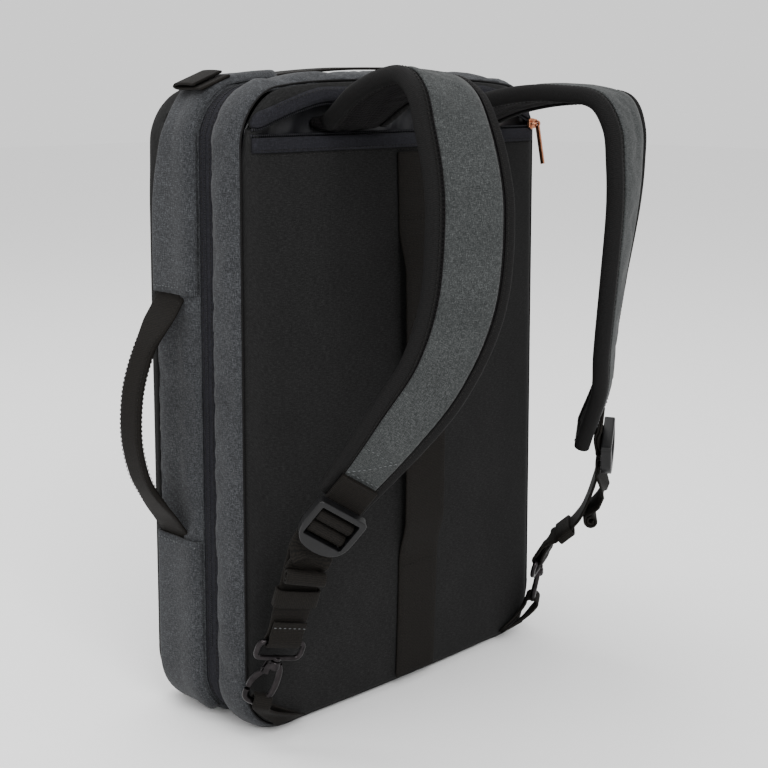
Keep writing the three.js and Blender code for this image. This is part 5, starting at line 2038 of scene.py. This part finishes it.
def fused(
    name: str, parts: Sequence[bpy.types.Object], frame_of: Frame, voxel: float, smooth: int
) -> bpy.types.Object:
    """Joins overlapping parts to one skin with soft edges, as casting does, and sets it in its frame.

    Args:
        name: The object's name.
        parts: The parts, in the frame's own directions.
        frame_of: The frame.
        voxel: The size of the smallest detail kept.
        smooth: Passes of smoothing.

    Returns:
        The object.
    """
    shape = bmesh.new()
    for part in parts:
        shape.from_mesh(part.data)
    mesh = bpy.data.meshes.new(name)
    shape.to_mesh(mesh)
    shape.free()
    for part in parts:
        bpy.data.objects.remove(part)
    obj = bpy.data.objects.new(name, mesh)
    bpy.context.scene.collection.objects.link(obj)
    remesh = obj.modifiers.new("cast", "REMESH")
    remesh.mode = "VOXEL"
    remesh.voxel_size = voxel * MM
    soften = obj.modifiers.new("soften", "SMOOTH")
    soften.iterations = smooth
    soften.factor = 0.5
    graph = bpy.context.evaluated_depsgraph_get()
    cast = bpy.data.meshes.new_from_object(obj.evaluated_get(graph), depsgraph=graph)
    obj.modifiers.clear()
    points = frame_of.place(mesh_points(cast) / MM)
    cast.vertices.foreach_set("co", (points * MM).astype(np.float32).ravel())
    obj.data = cast
    cast.name = name
    cast.shade_smooth()
    face_out(obj)
    return obj


@dataclass
class Chain:
    """What hangs below one strap: ladder lock, webbings, keeper, swivel eye, snap hook and base loop."""

    hand: str
    strap: ShoulderStrap
    hang: Hang
    webbing: float = 25
    wall: float = 1.8
    gap: float = 0.3
    lock_width: float = 34
    lock_height: float = 33
    lock_wall: float = 3
    lock_lip: float = 4.5
    lock_rim: float = 3.8
    lock_bar: float = 3
    bar_shift: float = 6
    anchor_length: float = 17
    keeper_height: float = 12
    keeper_wall: float = 1.5
    keeper_depth: float = 5
    roll_radius: float = 5
    stub: float = 15
    eye_width: float = 31
    eye_height: float = 12
    eye_round: float = 4.2
    eye_wire: float = 1.7
    collar_radius: float = 4
    collar_height: float = 5
    post: float = 1.6
    bore: float = 1.9
    hook_length: float = 26
    hook_width: float = 18
    hook_wire: float = 2
    gate_wall: float = 2.6
    gate_width: float = 3
    pin: float = 0.9
    nose_gap: float = 1.6
    loop_width: float = 25
    loop_pinch: float = 12
    loop_rise: float = 1.5

    def __post_init__(self) -> None:
        """Works out the frames of the lock, hook, eye and webbing end."""
        self.near = self.lock_wall / 2 + self.gap + self.wall / 2
        self.far = self.near + self.wall + self.gap
        self.collar_top = -self.eye_wire - self.gap
        self.collar_foot = self.collar_top - self.collar_height
        self.pin_place = (-self.collar_radius - 0.9, self.collar_foot - 2.7)
        self.lock_turn = self.turn_radius(math.hypot(self.lock_bar, self.lock_wall) / 2)
        self.tail_bar = self.bar_shift - 2 * self.lock_turn - self.wall - self.gap
        self.lock = self.lock_frame()
        self.hook = self.hook_frame(self.hang.turn)
        self.eye = self.hook_frame(self.hang.eye_turn)
        self.end = self.stub_frame()

    def turn_radius(self, bar: float) -> float:
        """Radius of the webbing's middle on its way round a bar."""
        return (bar + self.gap) / math.cos(math.pi / 8) + self.wall / 2

    def lock_frame(self) -> Frame:
        """The ladder lock's frame, below and outside the strap's tip."""
        tip, tangent, across, normal = self.strap.tip()
        origin = tip + tangent * self.hang.lock_drop + normal * self.hang.lock_out
        tilt = math.radians(self.hang.lock_tilt)
        up = -tangent * math.cos(tilt) - normal * math.sin(tilt)
        return Frame.from_axes(origin, up, across)

    def hook_frame(self, turn: float) -> Frame:
        """A frame at the swivel, with up along the hook and across from its gate to its spine."""
        hang = self.hang
        lean = unit(np.array([-hang.side * hang.lean_across, -hang.lean_out, 1.0]))
        angle = math.radians(turn)
        across = np.array([-hang.side * math.cos(angle), -math.sin(angle), 0.0])
        bend = np.array(
            [hang.side * (OUTLINE.width / 2 - hang.inset), OUTLINE.harness_seam - hang.out, hang.up]
        )
        found = Frame.from_axes(bend + lean * (self.hook_length - self.collar_foot), lean, across)
        return replace(found, face=1 if found.out[1] < 0 else -1)

    def stub_frame(self) -> Frame:
        """The webbing's end at the eye's bar, with up towards the lock."""
        bar = self.eye.at(0, self.eye_height, 0)
        up = self.lock.at(0, -self.lock_height / 2, -self.far) - bar
        up = unit(up - up.dot(self.eye.across) * self.eye.across)
        return replace(Frame.from_axes(bar, up, self.eye.across), face=self.eye.face)

    def build(self) -> None:
        """Makes and dresses every piece of the chain."""
        self.ladder_lock()
        self.anchor()
        self.lower_webbing()
        self.keeper()
        self.swivel_eye()
        self.hook_body()
        self.hook_gate()
        self.base_loop()

    def ladder_lock(self) -> None:
        """The moulded lock: a plate with three slots and a raised rim with a rectangular window."""
        half, top, bottom = self.lock_width / 2, self.lock_height / 2, -self.lock_height / 2
        shoulder = bottom + 0.48 * self.lock_height
        t = np.linspace(0, 1, 16)[:, None]
        first = (1 - t) ** 2 * [-half, shoulder] + 2 * t * (1 - t) * [-half, bottom] + t**2 * [0, bottom]
        mirrored = first[::-1][1:] * [-1, 1]
        turn = np.radians(np.linspace(0, 90, 6))[:, None]
        corner = 3.0
        right = np.hstack([half - corner + corner * np.cos(turn), top - corner + corner * np.sin(turn)])
        left = right[::-1] * [-1, 1]
        outline = np.vstack([first, mirrored, right, left])
        reach = half - self.lock_rim
        spare = self.lock_turn + self.wall / 2 + self.gap
        bar = self.lock_bar / 2

        def slot(low: float, high: float) -> Array:
            """A rectangular opening between two heights."""
            return np.array([(-reach, low), (reach, low), (reach, high), (-reach, high)])

        slots = [
            slot(self.bar_shift + bar, self.bar_shift + spare),
            slot(self.tail_bar + bar, self.bar_shift - bar),
            slot(self.tail_bar - spare, self.tail_bar - bar),
        ]
        wall = self.lock_wall / 2
        plate = slab(outline, -wall, wall, slots)
        tail_slot = slot(self.tail_bar - spare, top - self.lock_rim)
        rim = slab(outline, wall - 1, wall + self.lock_lip, [tail_slot], 0.9)
        obj = fused(f"ladder_lock_{self.hand}", [plate, rim], self.lock, 0.36, 3)
        dress(obj, Finishes.PLASTIC, "buckle_plastic", f"ladder_lock_{self.hand}")

    def lock_points(self, bar: float, sign: int) -> list[Array]:
        """From behind the lock over the front of a bar and behind again."""
        r, near, far = self.lock_turn, self.near, self.far
        rows = [
            (1.31 * r, -near),
            (1.03 * r, -0.62 * near),
            (r, 0),
            (0.71 * r, 0.71 * r),
            (0, r),
            (-0.71 * r, 0.71 * r),
            (-r, 0),
            (-0.88 * r, -0.88 * near),
            (-0.43 * r, -0.93 * far),
            (0.57 * r, -far),
        ]
        return [self.lock.at(0, bar + sign * u, o) for u, o in rows]

    def anchor(self) -> None:
        """The short webbing sewn under the strap's face, which holds the lock."""
        tip, tangent, across, normal = self.strap.tip()
        over = self.strap.pad_wall / 2 + self.strap.binding_wall + 3 * self.gap + self.wall / 2

        def above(distance: float, layer: int) -> Array:
            """A point on the strap's outer side above its tip."""
            return tip - tangent * distance + normal * (over + layer * (self.wall + self.gap))

        points = [above(self.anchor_length, 1), above(self.anchor_length / 2, 1)]
        points += self.lock_points(self.bar_shift, 1)
        points += [above(self.anchor_length / 2, 0), above(self.anchor_length, 0)]
        ribbon = Ribbon.through([(p, across, self.webbing) for p in points], self.wall)
        obj = ribbon.build(f"anchor_webbing_{self.hand}", 6)
        dress(obj, Finishes.WEBBING, "webbing", f"anchor_webbing_{self.hand}")

    def chain_line(self) -> tuple[Array, Array, Array]:
        """Foot under the lock, head above the eye and the outward direction of the load layer."""
        foot = self.lock.at(0, -self.lock_height / 2 - 2, -self.far)
        head = self.end.at(0, self.stub, -self.end.face * self.turn_radius(self.eye_wire) * 0.5)
        span = head - foot
        outward = unit(np.array([0, -1.0, 0]) + span * span[1] / span.dot(span))
        return foot, head, outward

    def across_at(self, share: float) -> Array:
        """Direction across the webbing at a share of the chain."""
        return unit(self.lock.across * (1 - share) + self.end.across * self.end.face * share)

    def on_line(self, share: float, offset: float) -> Array:
        """A point of the load layer with its sag, an offset outwards from it."""
        foot, head, outward = self.chain_line()
        bow = unit(np.array([self.hang.side * 0.3, -0.6, -0.8]))
        sag = bow * self.hang.sag * math.sin(share * math.pi)
        return foot + (head - foot) * share + sag + outward * offset

    def keeper_ends(self) -> tuple[Array, Array]:
        """The straight stretch of webbing through the keeper."""
        reach = 0.115
        return self.on_line(self.hang.keeper - reach, 0), self.on_line(self.hang.keeper + reach, 0)

    def roll_points(self, centre: Array, up: Array, inward: Array) -> list[Array]:
        """The rolled tail's turns, opening outwards to the load layer."""
        pitch = self.wall + self.gap
        steps = math.ceil(8 * (self.roll_radius - self.wall) / pitch)
        end = self.wall * 0.8 + pitch * steps / 8
        points = []
        for i in range(steps + 1):
            angle = (i - steps) / 8 * 2 * math.pi
            radius = end - pitch * (steps - i) / 8
            points.append(centre + inward * radius * math.cos(angle) + up * radius * math.sin(angle))
        return points

    def lower_webbing(self) -> None:
        """One webbing: rolled tail, up behind the lock, round its bar and down to the eye."""
        hang = self.hang
        eye_turn = self.turn_radius(self.eye_wire)
        fold = [
            (self.stub, eye_turn * 0.55),
            (eye_turn * 1.6, eye_turn * 0.7),
            (0.4 * eye_turn, eye_turn),
            (-0.65 * eye_turn, 0.75 * eye_turn),
            (-eye_turn, 0),
            (-0.65 * eye_turn, -0.75 * eye_turn),
            (0.4 * eye_turn, -eye_turn),
            (eye_turn * 1.6, -eye_turn * 0.7),
        ]
        fold_points = [self.end.at(0, u, self.end.face * o) for u, o in fold]
        foot, head, outward = self.chain_line()
        layer = self.wall + self.gap
        pitch_steps = math.ceil(8 * (self.roll_radius - self.wall) / layer)
        roll_end = self.wall * 0.8 + layer * pitch_steps / 8
        up = unit(foot - head)
        axis = self.across_at(hang.roll)
        axis = unit(axis - axis.dot(up) * up)
        inward = np.cross(axis, up)
        inward = -inward * np.sign(inward.dot(outward))
        roll_centre = self.on_line(hang.roll, 0) - inward * (layer + roll_end + 2 * self.gap)
        roll = self.roll_points(roll_centre, up, inward)
        roll.append(roll[-1] + up * roll_end * 0.8)
        behind = [
            self.lock.at(0, -self.lock_height / 2 - 3, -self.near),
            *self.lock_points(self.tail_bar, -1),
            foot,
        ]
        above, below = self.keeper_ends()
        rows = [(p, axis, self.webbing) for p in roll]
        loose = self.on_line(hang.roll * 0.4, layer + hang.spread * 4 * layer)
        rows.append((loose, self.across_at(hang.roll * 0.2), self.webbing))
        rows += [(p, self.across_at(0), self.webbing) for p in behind]
        rows += [(self.on_line(s, 0), self.across_at(s), self.webbing) for s in (0.18, hang.roll)]
        rows += [
            (above + (below - above) * s, self.across_at(hang.keeper), self.webbing) for s in (0, 0.2, 0.8, 1)
        ]
        rows.append((head, self.across_at(1), self.webbing))
        rows += [(p, self.across_at(1), self.webbing - 2) for p in fold_points[::-1]]
        ribbon = Ribbon.through(rows, self.wall, 4)
        obj = ribbon.build(f"lower_webbing_{self.hand}", 6)
        dress(obj, Finishes.WEBBING, "webbing", f"lower_webbing_{self.hand}")
        line = [
            self.end.at(a, self.stub - 3.5, self.end.face * (eye_turn * 0.62 + self.wall / 2))
            for a in np.linspace(-self.webbing / 2 + 2.5, self.webbing / 2 - 2.5, 10)
        ]
        Sewing.light.rows.append(Row(np.array(line), self.end.out * self.end.face))

    def keeper(self) -> None:
        """The flat band that holds the rolled tail."""
        above, below = self.keeper_ends()
        frame_of = Frame.from_axes((above + below) / 2, unit(above - below), self.across_at(self.hang.keeper))
        half = self.webbing / 2 + 2 * self.gap + self.keeper_wall / 2
        back = -self.wall / 2 - 2 * self.gap - self.keeper_wall / 2
        front = back + self.keeper_depth + self.keeper_wall
        middle, reach = (back + front) / 2, (front - back) / 2
        points = []
        for angle in np.linspace(0, 2 * math.pi, 48, endpoint=False):
            c, s = math.cos(angle), math.sin(angle)
            power = 0.32
            a = half * math.copysign(abs(c) ** power, c)
            o = middle + reach * math.copysign(abs(s) ** 0.7, s)
            points.append((a, 0, o))
        ring = np.array(points)
        closed = np.vstack([ring, ring[:1]])
        away = unit(np.cross(np.gradient(closed, axis=0)[:-1], [0, 1.0, 0]))
        if (away * (ring - ring.mean(axis=0))).sum() < 0:
            away = -away
        wall = self.keeper_wall / 2
        high = self.keeper_height / 2
        profile = [(wall, -high + 0.4), (wall, high - 0.4), (0.4, high), (-0.4, high), (-wall, high - 0.4)]
        profile += [(-wall, -high + 0.4), (-0.4, -high), (0.4, -high)]
        rows = np.array(
            [
                [frame_of.place(p + n * w + np.array([0, u, 0])) for w, u in profile]
                for p, n in zip(ring, away)
            ]
        )
        obj = grid(f"keeper_{self.hand}", rows, ring_rows=True, ring_columns=True)
        dress(obj, Finishes.WEBBING, "webbing", f"keeper_{self.hand}")

    def swivel_eye(self) -> None:
        """The oval wire eye with its riveted post."""
        half_w, half_h = self.eye_width / 2 - self.eye_round, self.eye_height / 2 - self.eye_round
        points = []
        for sx, sy, start in ((1, 1, 0), (-1, 1, 90), (-1, -1, 180), (1, -1, 270)):
            for angle in np.radians(np.linspace(start, start + 90, 8)):
                x = sx * half_w + self.eye_round * math.cos(angle)
                y = sy * half_h + self.eye_round * math.sin(angle) + self.eye_height / 2
                points.append((x, y, 0))
        loop = tube(np.array(points), self.eye_wire, np.array([0, 0, 1.0]), closed=True)
        head = self.collar_foot - self.gap
        post_profile = [
            (0.05, 0.2), (self.post, 0.2), (self.post, head),
            (2.3, head), (2.3, head - 1.2), (0.05, head - 1.2),
        ]
        post = turned(post_profile)
        boss = turned([(0.05, 1.2), (2.6, 0.8), (2.9, -1.2), (self.post, -1.9), (0.05, -1.9)])
        obj = fused(f"swivel_eye_{self.hand}", [loop, post, boss], self.eye, 0.3, 2)
        dress(obj, Finishes.GUNMETAL, "hook_metal", f"swivel_eye_{self.hand}")

    def hook_rows(self) -> Array:
        """The hook's bent spine, from inside its collar to its nose."""
        rows = [
            (0.32, -0.1, 1),
            (0.52, 0.06, 1),
            (0.6, 0.26, 1),
            (0.6, 0.55, 1),
            (0.42, 0.82, 1.05),
            (-0.06, 1, 1.1),
            (-0.74, 1.02, 1.1),
            (-1.2, 0.9, 1.05),
            (-1.24, 0.71, 0.95),
        ]
        return spline(rows, np.linspace(0, 1, 60))

    def hook_body(self) -> None:
        """The cast hook: collar, shoulders, cheeks with their pin, and the spine round to the nose."""
        rows = self.hook_rows()
        points = np.stack(
            [
                rows[:, 0] * self.hook_width / 2,
                self.collar_foot - rows[:, 1] * self.hook_length,
                0 * rows[:, 0],
            ],
            axis=1,
        )
        spine = tube(points, rows[:, 2] * self.hook_wire, np.array([0, 0, 1.0]))
        top, foot, r = self.collar_top, self.collar_foot, self.collar_radius
        collar = turned(
            [
                (self.bore, foot), (r, foot), (r, foot + 1.2),
                (r - 0.6, top - 0.5), (r - 1.1, top), (self.bore, top),
            ]
        )
        x, y = self.pin_place
        cheeks = []
        inside = self.gate_wall / 2 + self.gap
        for sign in (-1, 1):
            low, high = sorted((sign * inside, sign * (inside + 1)))
            corners = np.array(
                [
                    (x - 1.7, y - 1.7),
                    (-self.bore - 0.2, y - 1.7),
                    (-self.bore - 0.2, top - 0.8),
                    (x - 0.2, top - 2.2),
                ]
            )
            cheeks.append(slab(corners, low, high, bevel=0.25))
        turn = np.linspace(0, 2 * math.pi, 16, endpoint=False)
        disc = np.stack([x + self.pin * np.cos(turn), y + self.pin * np.sin(turn)], axis=1)
        pin = slab(disc, -inside - 1.25, inside + 1.25, bevel=0.15)
        obj = fused(f"hook_body_{self.hand}", [spine, collar, *cheeks, pin], self.hook, 0.26, 2)
        dress(obj, Finishes.GUNMETAL, "hook_metal", f"hook_body_{self.hand}")

    def hook_gate(self) -> None:
        """The sprung gate, which turns on the pin and closes on the nose."""
        x, y = self.pin_place
        rows = self.hook_rows()
        nose_x, nose_y = rows[-1, 0] * self.hook_width / 2, self.collar_foot - rows[-1, 1] * self.hook_length
        tip = nose_y + self.nose_gap
        half = self.gate_width / 2
        eye = self.pin + self.gap + 1
        turn = np.radians(np.linspace(-20, 200, 20))
        head = np.stack([x + eye * np.cos(turn), y + eye * np.sin(turn)], axis=1)
        bend = (y + tip) / 2
        t = np.linspace(0, 1, 10)[1:, None]
        start = head[-1]
        outer = (
            (1 - t) ** 2 * start
            + 2 * t * (1 - t) * [nose_x - half - 0.6, bend]
            + t**2 * [nose_x - half, tip]
        )
        first = np.array([nose_x + half, tip])
        last = np.array([x + eye * 0.94, y - eye * 0.34])
        inner = (1 - t) ** 2 * first + 2 * t * (1 - t) * [nose_x + half + 0.4, bend] + t**2 * last
        outline = np.vstack([head, outer, first, inner[:-1]])
        turn = np.linspace(0, 2 * math.pi, 20, endpoint=False)
        radius = self.pin + self.gap
        bore = np.stack([x + radius * np.cos(turn), y + radius * np.sin(turn)], axis=1)
        plate = slab(outline, -self.gate_wall / 2, self.gate_wall / 2, [bore], 0.4)
        obj = fused(f"hook_gate_{self.hand}", [plate], self.hook, 0.2, 2)
        dress(obj, Finishes.GUNMETAL, "hook_metal", f"hook_gate_{self.hand}", body=f"gate_{self.hand}")

    def base_loop(self) -> None:
        """The loop from the bottom seam, bunched where the hook pulls on it."""
        hang = self.hang
        bend_x, bend_y = 0.05 * self.hook_width / 2, self.collar_foot - 1.01 * self.hook_length
        r = self.hook_wire * 1.1 + self.loop_rise + self.wall / 2
        across = self.hook.across

        def turn_point(up: float, out: float) -> Array:
            """A point on the loop's way over the hook's bend."""
            return self.hook.at(bend_x, bend_y + up * r, self.hook.face * out * r)

        foot_x = OUTLINE.width / 2 - hang.foot_inset
        seam_y = OUTLINE.harness(foot_x, hang.foot_up) - self.gap
        slope = np.array([-hang.side, 0, -hang.foot_slope])

        def foot(step: float, layer: float, share: float, rise: float) -> tuple[Array, Array, float]:
            """A station at the bottom seam."""
            x = hang.side * (OUTLINE.width / 2 - hang.foot_inset - step)
            point = np.array([x, seam_y - layer * (self.wall + self.gap), hang.foot_up + rise])
            return point, slope, share * self.loop_width

        rows = [foot(0, 0, 0.95, 0)]
        for angle in np.radians([-110, -60, -20, 20, 60, 110]):
            rows.append((turn_point(math.cos(angle), math.sin(angle)), across, self.loop_pinch))
        rows.append(foot(0, 1.2, 1, 0))
        ribbon = replace(Ribbon.through(rows, self.wall, 6), skew=True)
        obj = ribbon.build(f"base_loop_{self.hand}", 8)
        dress(obj, Finishes.WEBBING, "webbing", f"base_loop_{self.hand}")


@dataclass
class ZipPull:
    """The pocket zip's slider with its bail, and the long metal pull that hangs from it."""

    length: float = 9
    width: float = 8
    wall: float = 2
    place: float = 128
    bail_wire: float = 0.8
    bail: float = 3.4
    pull_length: float = 29
    pull_width: float = 3
    pull_wall: float = 1.6
    pull_eye: float = 2.5
    tilt: float = 11
    pocket: Pocket = field(default_factory=Pocket)

    def build(self) -> None:
        """Makes and dresses the slider and the pull."""
        z = self.pocket.top + self.pocket.teeth_height + self.pocket.lip_end / 2
        back = OUTLINE.harness(self.place, self.pocket.top + self.pocket.teeth_height) - 1.2 - 0.6
        origin = np.array([self.place, back, z])
        level = Frame(origin, np.array([0, 0, 1.0]), np.array([1.0, 0, 0]), np.array([0, -1.0, 0]))
        long, wide = self.length / 2, self.width / 2
        outline = np.array(
            [(-long, -wide * 0.6), (-long * 0.4, -wide), (long, -wide * 0.75),
             (long, wide * 0.75), (-long * 0.4, wide),
             (-long, wide * 0.6)]
        )
        plate = slab(outline, 0, self.wall, bevel=0.5)
        reach = self.length * 0.36
        arch = [
            (-reach, 0, 0.8),
            (-reach, 0, self.wall + self.bail * 0.6),
            (-reach * 0.6, 0, self.wall + self.bail),
        ]
        arch += [(-x, y, h) for x, y, h in arch[::-1]]
        bail = tube(spline(arch, np.linspace(0, 1, 30)), self.bail_wire, np.array([0, 1.0, 0]))
        slider = fused("zip_slider", [plate, bail], level, 0.16, 2)
        dress(slider, Finishes.COPPER, "zip_pull_metal", "zip_slider")
        turn = np.radians(np.linspace(-50, 230, 24))
        head = np.stack([self.pull_eye * np.cos(turn), self.pull_eye * np.sin(turn)], axis=1)
        foot = np.array([(-self.pull_width / 2, -self.pull_length), (self.pull_width / 2, -self.pull_length)])
        ring = np.linspace(0, 2 * math.pi, 20, endpoint=False)
        inner = self.bail_wire + 0.45
        bore = np.stack([inner * np.cos(ring), inner * np.sin(ring)], axis=1)
        tag = slab(np.vstack([head, foot]), -self.pull_wall / 2, self.pull_wall / 2, [bore], 0.3)
        tilt = math.radians(self.tilt)
        hung = Frame(
            origin + np.array([0, -(self.wall + self.bail), 0]),
            np.array([0, math.sin(tilt), math.cos(tilt)]),
            np.array([0, math.cos(tilt), -math.sin(tilt)]),
            np.array([1.0, 0, 0]),
        )
        pull = fused("zip_pull", [tag], hung, 0.18, 2)
        dress(pull, Finishes.COPPER, "zip_pull_metal", "zip_pull", body="pull")


@dataclass
class Studio:
    """The floor, the soft lights and the camera at the photograph's angle. Places are metres."""

    lens: float = 69.15
    yaw: float = 45.608
    pitch: float = 9.194
    place: tuple[float, float, float] = (-0.70878, -0.72592, 0.41640)
    shift_up: float = -0.0898

    def build(self) -> None:
        """Sets the scene round the bag."""
        bpy.ops.mesh.primitive_plane_add(size=14)
        floor = bpy.context.object
        floor.name = "floor"
        floor.data.materials.append(Finishes.FLOOR.material())
        world = bpy.data.worlds.new("studio")
        bpy.context.scene.world = world
        world.use_nodes = True
        sky = world.node_tree.nodes["Background"]
        sky.inputs["Color"].default_value = (1, 1, 1, 1)
        sky.inputs["Strength"].default_value = 1.15
        self.light("key", (-0.9, -1.9, 1.6), 1.1, 42)
        self.light("fill", (-1.9, 0.2, 0.9), 1.4, 5)
        self.light("top", (-0.2, 0.5, 1.9), 1.2, 22)
        camera = bpy.data.objects.new("camera", bpy.data.cameras.new("camera"))
        bpy.context.scene.collection.objects.link(camera)
        yaw, pitch = math.radians(self.yaw), math.radians(self.pitch)
        look = Vector((math.sin(yaw) * math.cos(pitch), math.cos(yaw) * math.cos(pitch), -math.sin(pitch)))
        camera.location = self.place
        camera.rotation_euler = look.to_track_quat("-Z", "Y").to_euler()
        camera.data.lens = self.lens
        camera.data.sensor_width = 36
        camera.data.shift_y = self.shift_up
        camera.data.clip_start = 0.05
        bpy.context.scene.camera = camera

    def light(self, name: str, place: tuple[float, float, float], size: float, power: float) -> None:
        """A square soft light aimed at the bag's middle.

        Args:
            name: Its name.
            place: Where it stands.
            size: Its side, in metres.
            power: Its power in watts.
        """
        lamp = bpy.data.lights.new(name, "AREA")
        lamp.size = size
        lamp.energy = power
        obj = bpy.data.objects.new(name, lamp)
        obj.location = place
        aim = Vector((0, 0, 0.2)) - Vector(place)
        obj.rotation_euler = aim.to_track_quat("-Z", "Y").to_euler()
        bpy.context.scene.collection.objects.link(obj)


def main() -> None:
    """Builds the scene in order: studio, bag, pocket, handles, straps, chains, zip pull, threads."""
    logging.basicConfig(level=logging.INFO, format="%(name)s %(message)s")
    Studio().build()
    BagBody().build()
    Pocket().build()
    Handles().build()
    for hand, side in (("left", -1), ("right", 1)):
        strap = ShoulderStrap(hand, side)
        strap.build()
        Chain(hand, strap, HANGS[hand]).build()
    ZipPull().build()
    Sewing.build()


if __name__ == "__main__":
    main()
